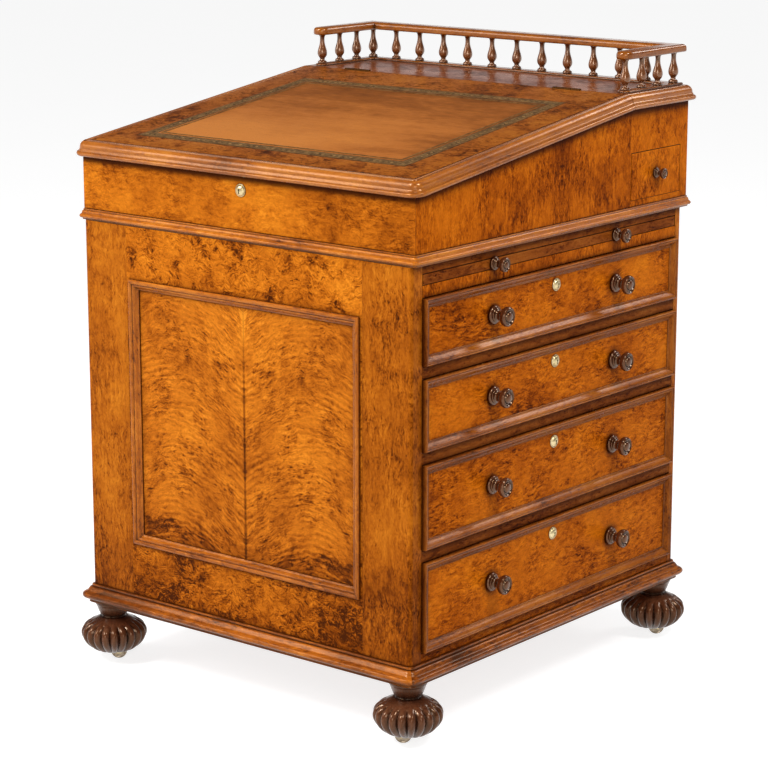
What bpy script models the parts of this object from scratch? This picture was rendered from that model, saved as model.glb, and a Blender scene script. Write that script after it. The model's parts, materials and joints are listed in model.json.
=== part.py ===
"""A slope-top writing desk: a drawer pedestal on lobed bun feet, and a writing box that slides on it.

Metres, +Z up. The front faces -Y and the drawers pull out towards +X. The origin lies on the floor
under the middle of the pedestal.
"""

import math

import bmesh
import bpy
from mathutils import Matrix, Vector

# Fits
GAP = 0.0003  # seat between two pieces that touch
RUN = 0.0008  # room beside a drawer or slide that runs

# Pedestal carcase
PEDESTAL_WIDTH = 0.551
PEDESTAL_DEPTH = 0.588
PEDESTAL_HEIGHT = 0.500
FRONT_THICKNESS = 0.021
BACK_THICKNESS = 0.014
SIDE_THICKNESS = 0.018
CORNER_RADIUS = 0.005
TOP_RAIL = 0.0105
SLIDE_HEIGHT = 0.0146
RAIL = 0.015
BOTTOM_RAIL = 0.0119
DRAWER_GRADES = (85, 92, 109, 117)  # how the drawers share the height between the rails, top drawer first

# Framed panel on the front, and the same moulding on the back
STILE_WIDTH = 0.0805
UPPER_RAIL = 0.070
LOWER_RAIL = 0.071
PANEL_RECESS = 0.005
PANEL_THICKNESS = 0.010
PANEL_REBATE = 0.010
PANEL_MOULD_WIDTH = 0.0136
PANEL_MOULD_LAP = 0.004
PANEL_MOULD_HEIGHT = 0.0045

# Drawers
DRAWER_FRONT_THICKNESS = 0.020
DRAWER_MOULD_WIDTH = 0.0095
DRAWER_MOULD_HEIGHT = 0.0038
DRAWER_WALL = 0.008
DRAWER_FLOOR = 0.006
DRAWER_SIDE_DROP = 0.010  # sides stand this much lower than the front
DRAWER_BACK_ROOM = 0.004

# Knobs and locks
KNOB_SPACING = 0.267
KNOB_RADIUS = 0.0132
KNOB_REACH = 0.0278
SPIGOT_RADIUS = 0.0045
SPIGOT_LENGTH = 0.013
SLIDE_KNOB_RADIUS = 0.0098
SLIDE_KNOB_REACH = 0.0215
PEN_KNOB_RADIUS = 0.0075
PEN_KNOB_REACH = 0.0165
KNOB_ROOT = 0.001  # how far a knob made in one with its board runs into it
LOCK_DROP = 0.0245  # escutcheon below the top of its board
ESCUTCHEON_RADIUS = 0.0068
ESCUTCHEON_HEIGHT = 0.0016
BARREL_RADIUS = 0.0042
LOCK_WIDTH = 0.040
LOCK_HEIGHT = 0.028
LOCK_THICKNESS = 0.007

# Plinth, feet and castors
PLINTH_HEIGHT = 0.025
PLINTH_REACH = 0.0154
FOOT_INSET = 0.0186  # foot axis inside the pedestal's corner
BUN_RADIUS = 0.0445
BUN_BASE_RADIUS = 0.0255
BUN_HEIGHT = 0.0512
BUN_EQUATOR = 0.0267  # above the underside of the bun
LOBES = 20
LOBE_DEPTH = 0.0034
LOBES_END = 0.86  # share of the bun's height where the lobes have run out
COLLAR_HEIGHT = 0.0215
NECK_RADIUS = 0.0187
COLLAR_RADIUS = 0.0245
TENON_RADIUS = 0.009
TENON_LENGTH = 0.012
CASTOR_DROP = 0.0103  # underside of the bun above the floor
WHEEL_RADIUS = 0.011
WHEEL_WIDTH = 0.008
WHEEL_BORE = 0.0018
AXLE_RADIUS = 0.0015
WHEEL_ROOM = 0.0006  # between the wheel and each cheek
CHEEK_THICKNESS = 0.002
CASTOR_TRAIL = 0.006
CASTOR_PLATE_RADIUS = 0.012
CASTOR_PLATE_THICKNESS = 0.0025
CASTOR_STEM_RADIUS = 0.004
CASTOR_STEM_LENGTH = 0.014
CASTOR_WELL_RADIUS = 0.020
WHEEL_TOP_ROOM = 0.0015  # between the wheel and the castor plate
CASTOR_HEADINGS = {"fl": 39.0, "fr": 219.0, "bl": 300.0, "br": 39.0}  # degrees, +X towards +Y

# Writing box
BOX_SIDE_STEP = 0.0028  # the box's sides and back stand outside the pedestal's, its front inside
BOX_FRONT_STEP = 0.0036
BOX_BACK_STEP = 0.0072
BASE_HEIGHT = 0.0149
BASE_REACH = 0.0069
BOX_FRONT_HEIGHT = 0.0694
BOX_BACK_HEIGHT = 0.1295
BOX_FRONT_THICKNESS = 0.016
BOX_SIDE_THICKNESS = 0.014
BOX_BACK_THICKNESS = 0.012
TONGUE_SPACING = 0.300
TONGUE_WIDTH = 0.012
TONGUE_DEPTH = 0.005
TONGUE_MARGIN = 0.015  # from the ends of the bay
BOX_TRAVEL = 0.200
BOX_LOCK_DROP = 0.0186

# Lid and fixed top
TOP_DEPTH = 0.1452  # hinge line in front of the box's back
LID_THICKNESS = 0.0199
LID_REACH = 0.0126
LID_CORNER = 0.0060
LID_ARRIS = 0.0045  # where the edge moulding begins, inside the box's faces
LID_JOINT = 0.0004  # half of the joint between the lid and the fixed top
LEATHER_SIDE = 0.054  # margins of the leather from the box's sides, front and hinge line
LEATHER_FRONT = 0.0478
LEATHER_BACK = 0.0636
LEATHER_THICKNESS = 0.0012
HINGE_SPACING = 0.360
HINGE_LENGTH = 0.045
LEAF_DEPTH = 0.014
LEAF_THICKNESS = 0.001
KNUCKLE_RADIUS = 0.0022
PIN_RADIUS = 0.0009

# Gallery
GALLERY_INSET = 0.0177  # middle of the rail inside the box's sides
GALLERY_BACK_INSET = 0.0119
GALLERY_LENGTH = 0.1153  # first spindle to the back row
RAIL_WIDTH = 0.0245
RAIL_THICKNESS = 0.0105
STRIP_WIDTH = 0.019
STRIP_THICKNESS = 0.0025
SPINDLE_HEIGHT = 0.0410
SPINDLE_RADIUS = 0.0058
BACK_SPINDLES = 13
SIDE_SPINDLES = 3

# Pen drawer
PEN_HEIGHT = 0.0636
PEN_SILL = 0.0078
PEN_BACK_MARGIN = 0.0172
PEN_DEPTH = 0.240
PEN_FRONT_THICKNESS = 0.012
PEN_WALL = 0.006
PARTITION_THICKNESS = 0.008
PARTITION_ROOM = 0.002

# Facets of round forms
FOOT_LOBE_FACETS = 3
COLLAR_FACETS = LOBES
TENON_FACETS = LOBES // 2
KNOB_FACETS = 10
SMALL_FACETS = 8
WHEEL_FACETS = 12
SPINDLE_FACETS = 8
CORNER_FACETS = 4

# Levels and faces that the pieces share
HALF_WIDTH = PEDESTAL_WIDTH / 2
FRONT_FACE = -PEDESTAL_DEPTH / 2
BACK_FACE = PEDESTAL_DEPTH / 2
BAY_FRONT = FRONT_FACE + FRONT_THICKNESS
BAY_BACK = BACK_FACE - BACK_THICKNESS
BAY_LEFT = -HALF_WIDTH + SIDE_THICKNESS
BAY_MIDDLE = (BAY_FRONT + BAY_BACK) / 2
BUN_TOP = CASTOR_DROP + BUN_HEIGHT
PLINTH_BOTTOM = BUN_TOP + COLLAR_HEIGHT
PEDESTAL_BOTTOM = PLINTH_BOTTOM + PLINTH_HEIGHT
PEDESTAL_TOP = PEDESTAL_BOTTOM + PEDESTAL_HEIGHT
DRAWER_SPACE = PEDESTAL_HEIGHT - BOTTOM_RAIL - RAIL * len(DRAWER_GRADES) - SLIDE_HEIGHT - TOP_RAIL
DRAWER_HEIGHTS = tuple(DRAWER_SPACE * grade / sum(DRAWER_GRADES) for grade in DRAWER_GRADES)
BOX_HALF = HALF_WIDTH + BOX_SIDE_STEP
BOX_FRONT = FRONT_FACE + BOX_FRONT_STEP
BOX_BACK = BACK_FACE + BOX_BACK_STEP
BASE_TOP = PEDESTAL_TOP + BASE_HEIGHT
HINGE_Y = BOX_BACK - TOP_DEPTH
HINGE_LINE = HINGE_Y - BOX_FRONT
SLOPE = math.atan((BOX_BACK_HEIGHT - BOX_FRONT_HEIGHT) / HINGE_LINE)
TOP_UNDERSIDE = BASE_TOP + BOX_BACK_HEIGHT
TOP_SURFACE = TOP_UNDERSIDE + LID_THICKNESS / math.cos(SLOPE)
LID_LENGTH = HINGE_LINE / math.cos(SLOPE)
LEAF_SEAT = LID_JOINT / 2 + LEAF_THICKNESS
KNUCKLE_ROOM = KNUCKLE_RADIUS + 2 * GAP
CASTOR_PLATE_BOTTOM = 2 * WHEEL_RADIUS + WHEEL_TOP_ROOM
CASTOR_PLATE_TOP = CASTOR_PLATE_BOTTOM + CASTOR_PLATE_THICKNESS
STEM_BORE = (CASTOR_STEM_RADIUS + GAP) / math.cos(math.pi / SMALL_FACETS)  # free of the stem at every turn
TONGUE_BACK = BAY_BACK - TONGUE_MARGIN
TONGUE_FRONT = BAY_FRONT + TONGUE_MARGIN + BOX_TRAVEL
PEN_BACK = BOX_BACK - PEN_BACK_MARGIN
PEN_FRONT = HINGE_Y + PARTITION_THICKNESS + PARTITION_ROOM
PEN_BOTTOM = BASE_TOP + PEN_SILL

# Colour, roughness and metallic value of each finish
LOOKS = {
    "burr_walnut": ((0.45, 0.17, 0.030), 0.28, 0.0),
    "walnut": ((0.30, 0.10, 0.022), 0.32, 0.0),
    "dark_walnut": ((0.075, 0.024, 0.010), 0.30, 0.0),
    "lining": ((0.40, 0.22, 0.09), 0.55, 0.0),
    "leather": ((0.36, 0.14, 0.045), 0.45, 0.0),
    "brass": ((0.55, 0.38, 0.13), 0.28, 1.0),
}

for old in list(bpy.data.objects):
    bpy.data.objects.remove(old, do_unlink=True)

anchors = {}


def make_object(name, bm, look=None, smooth=False):
    """Links the mesh as an object with its own material. With no look it is a helper that isn't drawn."""
    bmesh.ops.recalc_face_normals(bm, faces=bm.faces)
    mesh = bpy.data.meshes.new(name)
    bm.to_mesh(mesh)
    bm.free()
    if smooth:
        mesh.shade_smooth()
        mesh.set_sharp_from_angle(angle=math.radians(35))
    obj = bpy.data.objects.new(name, mesh)
    bpy.context.scene.collection.objects.link(obj)
    if look is None:
        obj.hide_render = True
        obj.display_type = "WIRE"
        return obj
    colour, roughness, metallic = LOOKS[look]
    material = bpy.data.materials.new(name)
    material.use_nodes = True
    shader = material.node_tree.nodes["Principled BSDF"]
    shader.inputs["Base Color"].default_value = (*colour, 1.0)
    shader.inputs["Roughness"].default_value = roughness
    shader.inputs["Metallic"].default_value = metallic
    mesh.materials.append(material)
    return obj


def joint_empty(name, place, parent=None):
    """An empty on a joint's axis, which carries the pieces that move there."""
    empty = bpy.data.objects.new(name, None)
    bpy.context.scene.collection.objects.link(empty)
    anchors[name] = Vector(place)
    empty.location = anchors[name]
    if parent:
        empty.parent = parent
        empty.location = anchors[name] - anchors[parent.name]
    return empty


def carry(empty, *pieces):
    """Hangs pieces that are already in place on an empty."""
    for piece in pieces:
        piece.parent = empty
        piece.matrix_parent_inverse = Matrix.Translation(-anchors[empty.name])


def combine(obj, tool, operation):
    """Leaves a Boolean of the tool on the object."""
    modifier = obj.modifiers.new(tool.name, "BOOLEAN")
    modifier.operation = operation
    modifier.solver = "EXACT"
    modifier.object = tool


def bridge(bm, first, second):
    """Faces between two rings. One ring may have a whole number of times as many points as the other."""
    if len(first) < len(second):
        first, second = second, first
    share = len(first) // len(second)
    for i, near in enumerate(second):
        after = second[(i + 1) % len(second)]
        stretch = [first[(i * share + k) % len(first)] for k in range(share + 1)]
        if share == 1:
            bm.faces.new((stretch[0], stretch[1], after, near))
            continue
        for left, right in zip(stretch, stretch[1:]):
            bm.faces.new((left, right, near))
        bm.faces.new((stretch[-1], after, near))


def add_stack(bm, loops, ring=False):
    """A solid through a stack of loops, capped at both ends, or closed on itself as a ring."""
    rows = [[bm.verts.new(point) for point in loop] for loop in loops]
    for first, second in zip(rows, rows[1:]):
        bridge(bm, first, second)
    if ring:
        bridge(bm, rows[-1], rows[0])
        return
    bm.faces.new(rows[0])
    bm.faces.new(rows[-1])


def add_box(bm, low, high):
    (x0, y0, z0), (x1, y1, z1) = low, high
    add_stack(bm, [[(x0, y0, z), (x1, y0, z), (x1, y1, z), (x0, y1, z)] for z in (z0, z1)])


def add_turned(bm, profile, facets, place):
    """A turned solid from (radius, height) points, about the Z axis of place."""
    turns = [math.tau * i / facets for i in range(facets)]
    add_stack(bm, [[place @ Vector((r * math.cos(t), r * math.sin(t), h)) for t in turns] for r, h in profile])


def add_rod(bm, radius, low, high, facets, place):
    add_turned(bm, [(radius, low), (radius, high)], facets, place)


def add_board(bm, outline, low, high):
    """An outline of (y, z) points drawn out along X."""
    add_stack(bm, [[(x, y, z) for y, z in outline] for x in (low, high)])


def box_object(name, low, high, look):
    bm = bmesh.new()
    add_box(bm, low, high)
    return make_object(name, bm, look)


def plan(x0, x1, y0, y1, radii):
    """A rectangle as (x, y) points, with a radius for its front left, front right, back right and back left."""
    corners = ((x0, y0, 1, 1), (x1, y0, -1, 1), (x1, y1, -1, -1), (x0, y1, 1, -1))
    points = []
    for quarter, ((x, y, to_x, to_y), radius) in enumerate(zip(corners, radii)):
        if not radius:
            points.append((x, y))
            continue
        for step in range(CORNER_FACETS + 1):
            angle = math.pi + math.pi / 2 * (quarter + step / CORNER_FACETS)
            points.append((x + to_x * radius + radius * math.cos(angle),
                           y + to_y * radius + radius * math.sin(angle)))
    return points


def ogee(start, end, steps):
    """An S-shaped run between two (out, height) points, level at both ends."""
    run = []
    for i in range(steps + 1):
        t = i / steps
        height = start[1] + (end[1] - start[1]) * (1 - math.cos(math.pi * t)) / 2
        run.append((start[0] + (end[0] - start[0]) * t, height))
    return run


def bead(centre, radius, from_degrees, to_degrees, steps):
    """Part of a circle as (out, height) points, measured from straight out."""
    run = []
    for i in range(steps + 1):
        angle = math.radians(from_degrees + (to_degrees - from_degrees) * i / steps)
        run.append((centre[0] + radius * math.cos(angle), centre[1] + radius * math.sin(angle)))
    return run


def edge_profile(thickness, reach, arris):
    """The ogee and bead round the lid and the fixed top, from the upper arris to the underside."""
    round_radius = 0.15 * thickness
    middle = (reach - round_radius, round_radius)
    ogee_end = (reach - 1.05 * round_radius, 0.36 * thickness)
    return (ogee((-arris, thickness), ogee_end, 5)
            + bead(middle, round_radius, 75, -60, 3)
            + [(middle[0] - round_radius, 0.0)])


def facing(direction):
    """Turns the Z axis of a turned piece to a face's outward direction."""
    return Vector((0, 0, 1)).rotation_difference(Vector(direction)).to_matrix().to_4x4()


def knob_profile(radius, reach, foot):
    """A turned knob: flange, neck and cushioned head. The foot is its first (radius, height) points."""
    return foot + [
        (0.72 * radius, 0.11 * reach),
        (0.42 * radius, 0.25 * reach),
        (0.42 * radius, 0.42 * reach),
        (0.93 * radius, 0.61 * reach),
        (radius, 0.74 * reach),
        (0.84 * radius, 0.90 * reach),
        (0.42 * radius, reach),
    ]


def rooted_knob(bm, radius, reach, place):
    """A knob that is one with its board."""
    add_turned(bm, knob_profile(radius, reach, [(0.72 * radius, -KNOB_ROOT)]), SMALL_FACETS, place)


def side_loop(x, y0, y1, z0, z1, inset):
    """A rectangle on a side of the pedestal."""
    return [(x, y0 + inset, z0 + inset), (x, y1 - inset, z0 + inset),
            (x, y1 - inset, z1 - inset), (x, y0 + inset, z1 - inset)]


def drawer_levels():
    """The bottom and top of each drawer's opening, top drawer first."""
    levels = []
    bottom = PEDESTAL_BOTTOM + BOTTOM_RAIL
    for height in reversed(DRAWER_HEIGHTS):
        levels.insert(0, (bottom, bottom + height))
        bottom += height + RAIL
    return levels


def drawer_mould():
    """The raised edge of a drawer front, as (inset, height) points from its outer corner."""
    lip = 0.4 * DRAWER_MOULD_WIDTH
    outer = [(0.0, 0.65 * DRAWER_MOULD_HEIGHT), (0.15 * DRAWER_MOULD_WIDTH, DRAWER_MOULD_HEIGHT)]
    return outer + ogee((lip, DRAWER_MOULD_HEIGHT), (DRAWER_MOULD_WIDTH, 0.0), 4)


LEVELS = drawer_levels()
SLIDE_BOTTOM = LEVELS[0][1] + RAIL
SLIDE_TOP = SLIDE_BOTTOM + SLIDE_HEIGHT
PANEL_LEFT = -HALF_WIDTH + STILE_WIDTH
PANEL_RIGHT = HALF_WIDTH - STILE_WIDTH
PANEL_LOW = PEDESTAL_BOTTOM + LOWER_RAIL
PANEL_HIGH = PEDESTAL_TOP - UPPER_RAIL


def panel_mould_profile():
    """Section of the panel moulding, as (inset, height above the frame) points, open at its back."""
    crown = 0.4 * PANEL_MOULD_WIDTH
    inner = -PANEL_RECESS + 0.4 * PANEL_RECESS
    outer = [(0.0, 0.45 * PANEL_MOULD_HEIGHT), (0.18 * PANEL_MOULD_WIDTH, PANEL_MOULD_HEIGHT)]
    return outer + ogee((crown, PANEL_MOULD_HEIGHT), (PANEL_MOULD_WIDTH, inner), 4)


def panel_loop(inset, y):
    return [(PANEL_LEFT + inset, y, PANEL_LOW + inset), (PANEL_RIGHT - inset, y, PANEL_LOW + inset),
            (PANEL_RIGHT - inset, y, PANEL_HIGH - inset), (PANEL_LEFT + inset, y, PANEL_HIGH - inset)]


def make_front():
    """Front frame with its rebated opening, the panel behind it and the moulding that covers the joint."""
    bm = bmesh.new()
    outline = plan(-HALF_WIDTH, HALF_WIDTH, FRONT_FACE, BAY_FRONT, (CORNER_RADIUS, CORNER_RADIUS, 0, 0))
    add_stack(bm, [[(x, y, z) for x, y in outline] for z in (PEDESTAL_BOTTOM, PEDESTAL_TOP)])
    frame = make_object("front_frame", bm, "burr_walnut")
    lap = PANEL_MOULD_LAP
    rebate = lap - PANEL_REBATE
    lip_back = FRONT_FACE + PANEL_RECESS - GAP
    through = 2 * FRONT_THICKNESS
    sight = box_object("front_sight_cut", (PANEL_LEFT + lap, FRONT_FACE - through, PANEL_LOW + lap),
                       (PANEL_RIGHT - lap, BAY_FRONT + through, PANEL_HIGH - lap), None)
    recess = box_object("front_rebate_cut", (PANEL_LEFT + rebate, lip_back, PANEL_LOW + rebate),
                        (PANEL_RIGHT - rebate, BAY_FRONT + through, PANEL_HIGH - rebate), None)
    combine(frame, sight, "DIFFERENCE")
    combine(frame, recess, "DIFFERENCE")
    seat = rebate + GAP
    box_object("front_panel", (PANEL_LEFT + seat, FRONT_FACE + PANEL_RECESS, PANEL_LOW + seat),
               (PANEL_RIGHT - seat, FRONT_FACE + PANEL_RECESS + PANEL_THICKNESS, PANEL_HIGH - seat), "burr_walnut")
    section = panel_mould_profile()
    section += [(PANEL_MOULD_WIDTH, GAP - PANEL_RECESS), (lap + GAP, GAP - PANEL_RECESS), (lap + GAP, GAP), (0.0, GAP)]
    bm = bmesh.new()
    add_stack(bm, [panel_loop(inset, FRONT_FACE - height) for inset, height in section], ring=True)
    make_object("front_panel_moulding", bm, "walnut")


def make_back():
    """Back board with the same panel moulding planted on it."""
    bm = bmesh.new()
    outline = plan(-HALF_WIDTH, HALF_WIDTH, BAY_BACK, BACK_FACE, (0, 0, CORNER_RADIUS, CORNER_RADIUS))
    add_stack(bm, [[(x, y, z) for x, y in outline] for z in (PEDESTAL_BOTTOM, PEDESTAL_TOP)])
    board = make_object("pedestal_back", bm, "burr_walnut")
    root = -0.1 * BACK_THICKNESS
    section = panel_mould_profile()[:-1] + [(PANEL_MOULD_WIDTH, root), (0.0, root)]
    bm = bmesh.new()
    add_stack(bm, [panel_loop(inset, BACK_FACE + height) for inset, height in section], ring=True)
    combine(board, make_object("back_moulding", bm), "UNION")


def make_dummy_side():
    """Left side: a board with the mouldings and knobs of drawers that don't open."""
    board = box_object("dummy_side", (-HALF_WIDTH, BAY_FRONT + GAP, PEDESTAL_BOTTOM),
                       (BAY_LEFT, BAY_BACK - GAP, PEDESTAL_TOP), "burr_walnut")
    root = -0.1 * SIDE_THICKNESS
    section = drawer_mould()[:-1] + [(DRAWER_MOULD_WIDTH, root), (0.0, root)]
    bm = bmesh.new()
    for bottom, top in LEVELS:
        loops = [side_loop(-HALF_WIDTH - height, BAY_FRONT + RUN, BAY_BACK - RUN, bottom + RUN, top - RUN, inset)
                 for inset, height in section]
        add_stack(bm, loops, ring=True)
        for side in (-1, 1):
            seat = Vector((-HALF_WIDTH, BAY_MIDDLE + side * KNOB_SPACING / 2, (bottom + top) / 2))
            rooted_knob(bm, KNOB_RADIUS, KNOB_REACH, Matrix.Translation(seat) @ facing((-1, 0, 0)))
    combine(board, make_object("dummy_trim", bm), "UNION")


def make_carcase_inside():
    """The boards between the drawers, whose right edges are the rails, and the top that carries the box."""
    for number, (_, top) in enumerate(LEVELS, start=1):
        box_object(f"drawer_divider_{number}", (BAY_LEFT + GAP, BAY_FRONT + GAP, top),
                   (HALF_WIDTH, BAY_BACK - GAP, top + RAIL), "burr_walnut")
    board = box_object("pedestal_top", (BAY_LEFT + GAP, BAY_FRONT + GAP, SLIDE_TOP),
                       (HALF_WIDTH, BAY_BACK - GAP, PEDESTAL_TOP), "walnut")
    bm = bmesh.new()
    for side in (-1, 1):
        middle = side * TONGUE_SPACING / 2
        half = TONGUE_WIDTH / 2 + GAP
        add_box(bm, (middle - half, TONGUE_FRONT - BOX_TRAVEL - RUN, PEDESTAL_TOP - TONGUE_DEPTH),
                (middle + half, TONGUE_BACK + RUN, PEDESTAL_TOP + TONGUE_DEPTH))
    combine(board, make_object("tongue_grooves", bm), "DIFFERENCE")


def foot_places():
    x = HALF_WIDTH - FOOT_INSET
    y = PEDESTAL_DEPTH / 2 - FOOT_INSET
    return {"fl": (-x, -y), "fr": (x, -y), "bl": (-x, y), "br": (x, y)}


def make_plinth():
    """Moulded base with the floor of the drawer bay raised on it, bored for the tenons of the feet."""
    rim = 0.22 * PLINTH_REACH
    bead_radius = 0.16 * PLINTH_HEIGHT
    middle = (PLINTH_REACH - bead_radius, -0.6 * PLINTH_HEIGHT)
    profile = [(rim, 0.0), (rim, -0.1 * PLINTH_HEIGHT)]
    profile += ogee((rim + 0.0008, -0.1 * PLINTH_HEIGHT), (middle[0], middle[1] + bead_radius), 5)[1:]
    profile += bead(middle, bead_radius, 60, -90, 4)
    profile.append((middle[0] - bead_radius, -PLINTH_HEIGHT))
    loops = [[(x, y, PEDESTAL_BOTTOM - GAP + min(height, 0.0) + (GAP if height == -PLINTH_HEIGHT else 0.0))
              for x, y in plan(-HALF_WIDTH - out, HALF_WIDTH + out, FRONT_FACE - out, BACK_FACE + out, (0, 0, 0, 0))]
             for out, height in reversed(profile)]
    floor = plan(BAY_LEFT + GAP, HALF_WIDTH, BAY_FRONT + GAP, BAY_BACK - GAP, (0, 0, 0, 0))
    loops += [[(x, y, z) for x, y in floor] for z in (PEDESTAL_BOTTOM - GAP, PEDESTAL_BOTTOM + BOTTOM_RAIL)]
    bm = bmesh.new()
    add_stack(bm, loops)
    plinth = make_object("plinth", bm, "walnut")
    bm = bmesh.new()
    for x, y in foot_places().values():
        place = Matrix.Translation((x, y, PLINTH_BOTTOM))
        add_rod(bm, TENON_RADIUS + GAP, -TENON_LENGTH, TENON_LENGTH + GAP, TENON_FACETS, place)
    combine(plinth, make_object("tenon_bores", bm), "DIFFERENCE")


def bun_radius(rise):
    """Radius of the bun at a height above its underside, without its lobes."""
    above = rise > BUN_EQUATOR
    end = NECK_RADIUS if above else BUN_BASE_RADIUS
    reach = (BUN_HEIGHT - BUN_EQUATOR) if above else BUN_EQUATOR
    share = min(abs(rise - BUN_EQUATOR) / reach, 1.0)
    return end + (BUN_RADIUS - end) * math.sqrt(1 - share * share)


def lobed_ring(rise):
    """A ring of the bun: rounded lobes with a groove between each two, which fade out on the shoulder."""
    radius = bun_radius(rise)
    fade = min(max((LOBES_END * BUN_HEIGHT - rise) / (0.22 * BUN_HEIGHT), 0.0), 1.0)
    depth = LOBE_DEPTH * fade * radius / BUN_RADIUS
    count = LOBES * FOOT_LOBE_FACETS
    points = []
    for i in range(count):
        groove = depth if i % FOOT_LOBE_FACETS == 0 else 0.0
        angle = math.tau * i / count
        points.append(((radius - groove) * math.cos(angle), (radius - groove) * math.sin(angle), CASTOR_DROP + rise))
    return points


def make_feet():
    """Lobed bun feet with a waisted collar and a tenon above, and a well below for the castor."""
    lobed = [share * BUN_HEIGHT for share in (0.0, 0.16, 0.35, 0.54, 0.72)]
    shoulder = [share * BUN_HEIGHT for share in (LOBES_END, 0.96)]
    collar = ((NECK_RADIUS, BUN_TOP), (NECK_RADIUS, BUN_TOP + 0.35 * COLLAR_HEIGHT),
              (0.9 * COLLAR_RADIUS, BUN_TOP + 0.7 * COLLAR_HEIGHT), (COLLAR_RADIUS, PLINTH_BOTTOM - GAP))
    tenon = ((TENON_RADIUS, PLINTH_BOTTOM - GAP), (TENON_RADIUS, PLINTH_BOTTOM + TENON_LENGTH))
    loops = [lobed_ring(rise) for rise in lobed]
    plain = [(bun_radius(rise), CASTOR_DROP + rise) for rise in shoulder] + list(collar)
    turns = [math.tau * i / COLLAR_FACETS for i in range(COLLAR_FACETS)]
    loops += [[(r * math.cos(t), r * math.sin(t), z) for t in turns] for r, z in plain]
    turns = [math.tau * i / TENON_FACETS for i in range(TENON_FACETS)]
    loops += [[(r * math.cos(t), r * math.sin(t), z) for t in turns] for r, z in tenon]
    for corner, (x, y) in foot_places().items():
        bm = bmesh.new()
        add_stack(bm, loops)
        foot = make_object(f"bun_foot_{corner}", bm, "dark_walnut", smooth=True)
        foot.location = (x, y, 0)
        bm = bmesh.new()
        add_rod(bm, CASTOR_WELL_RADIUS, -CASTOR_DROP, CASTOR_PLATE_TOP + GAP, 2 * SMALL_FACETS, Matrix())
        well = make_object(f"castor_well_{corner}", bm)
        bm = bmesh.new()
        add_rod(bm, STEM_BORE, 0, CASTOR_PLATE_TOP + CASTOR_STEM_LENGTH + GAP, SMALL_FACETS, Matrix())
        bore = make_object(f"stem_bore_{corner}", bm)
        for cutter in (well, bore):
            cutter.location = foot.location
            combine(foot, cutter, "DIFFERENCE")


def make_castors():
    """Brass castors: a horn that swivels on its stem in the foot, and a wheel on the horn's axle."""
    cheek_inner = WHEEL_WIDTH / 2 + WHEEL_ROOM
    cheek_outer = cheek_inner + CHEEK_THICKNESS
    cheek_end = CASTOR_TRAIL + 2.5 * AXLE_RADIUS
    sideways = Matrix.Translation((CASTOR_TRAIL, 0, WHEEL_RADIUS)) @ facing((0, 1, 0))
    half = WHEEL_WIDTH / 2
    rim = WHEEL_RADIUS / math.cos(math.pi / WHEEL_FACETS)  # so that the flats stand on the floor
    tread = ((WHEEL_BORE, -half), (0.92 * rim, -half), (rim, -0.7 * half),
             (rim, 0.7 * half), (0.92 * rim, half), (WHEEL_BORE, half))
    for corner, (x, y) in foot_places().items():
        heading = math.radians(CASTOR_HEADINGS[corner])
        place = Matrix.Translation((x, y, 0)) @ Matrix.Rotation(heading, 4, "Z")
        swivel = joint_empty(f"swivel_{corner}", (x, y, 0))
        axle = joint_empty(f"axle_{corner}", place @ Vector((CASTOR_TRAIL, 0, WHEEL_RADIUS)), swivel)
        bm = bmesh.new()
        stem_top = CASTOR_PLATE_TOP + CASTOR_STEM_LENGTH
        add_turned(bm, [(CASTOR_PLATE_RADIUS, CASTOR_PLATE_BOTTOM), (CASTOR_PLATE_RADIUS, CASTOR_PLATE_TOP),
                        (CASTOR_STEM_RADIUS, CASTOR_PLATE_TOP), (CASTOR_STEM_RADIUS, stem_top)], SMALL_FACETS, place)
        horn = make_object(f"castor_horn_{corner}", bm, "brass", smooth=True)
        bm = bmesh.new()
        for side in (-1, 1):
            low, high = sorted((side * cheek_inner, side * cheek_outer))
            corners = [(-0.5 * CASTOR_TRAIL, CASTOR_PLATE_BOTTOM + 0.4 * CASTOR_PLATE_THICKNESS),
                       (CASTOR_TRAIL - 2.5 * AXLE_RADIUS, WHEEL_RADIUS - 2 * AXLE_RADIUS),
                       (cheek_end, WHEEL_RADIUS - 2 * AXLE_RADIUS),
                       (cheek_end, CASTOR_PLATE_BOTTOM + 0.4 * CASTOR_PLATE_THICKNESS)]
            add_stack(bm, [[place @ Vector((u, across, z)) for u, z in corners] for across in (low, high)])
        combine(horn, make_object(f"castor_cheeks_{corner}", bm), "UNION")
        bm = bmesh.new()
        reach = cheek_inner + 0.5 * CHEEK_THICKNESS
        add_rod(bm, AXLE_RADIUS, -reach, reach, SMALL_FACETS, place @ sideways)
        combine(horn, make_object(f"castor_axle_{corner}", bm), "UNION")
        bm = bmesh.new()
        turns = [math.tau * (i + 0.5) / WHEEL_FACETS for i in range(WHEEL_FACETS)]
        wheel_place = place @ sideways
        add_stack(bm, [[wheel_place @ Vector((r * math.cos(t), r * math.sin(t), h)) for t in turns]
                       for r, h in tread], ring=True)
        wheel = make_object(f"castor_wheel_{corner}", bm, "brass", smooth=True)
        carry(swivel, horn)
        carry(axle, wheel)


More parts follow.
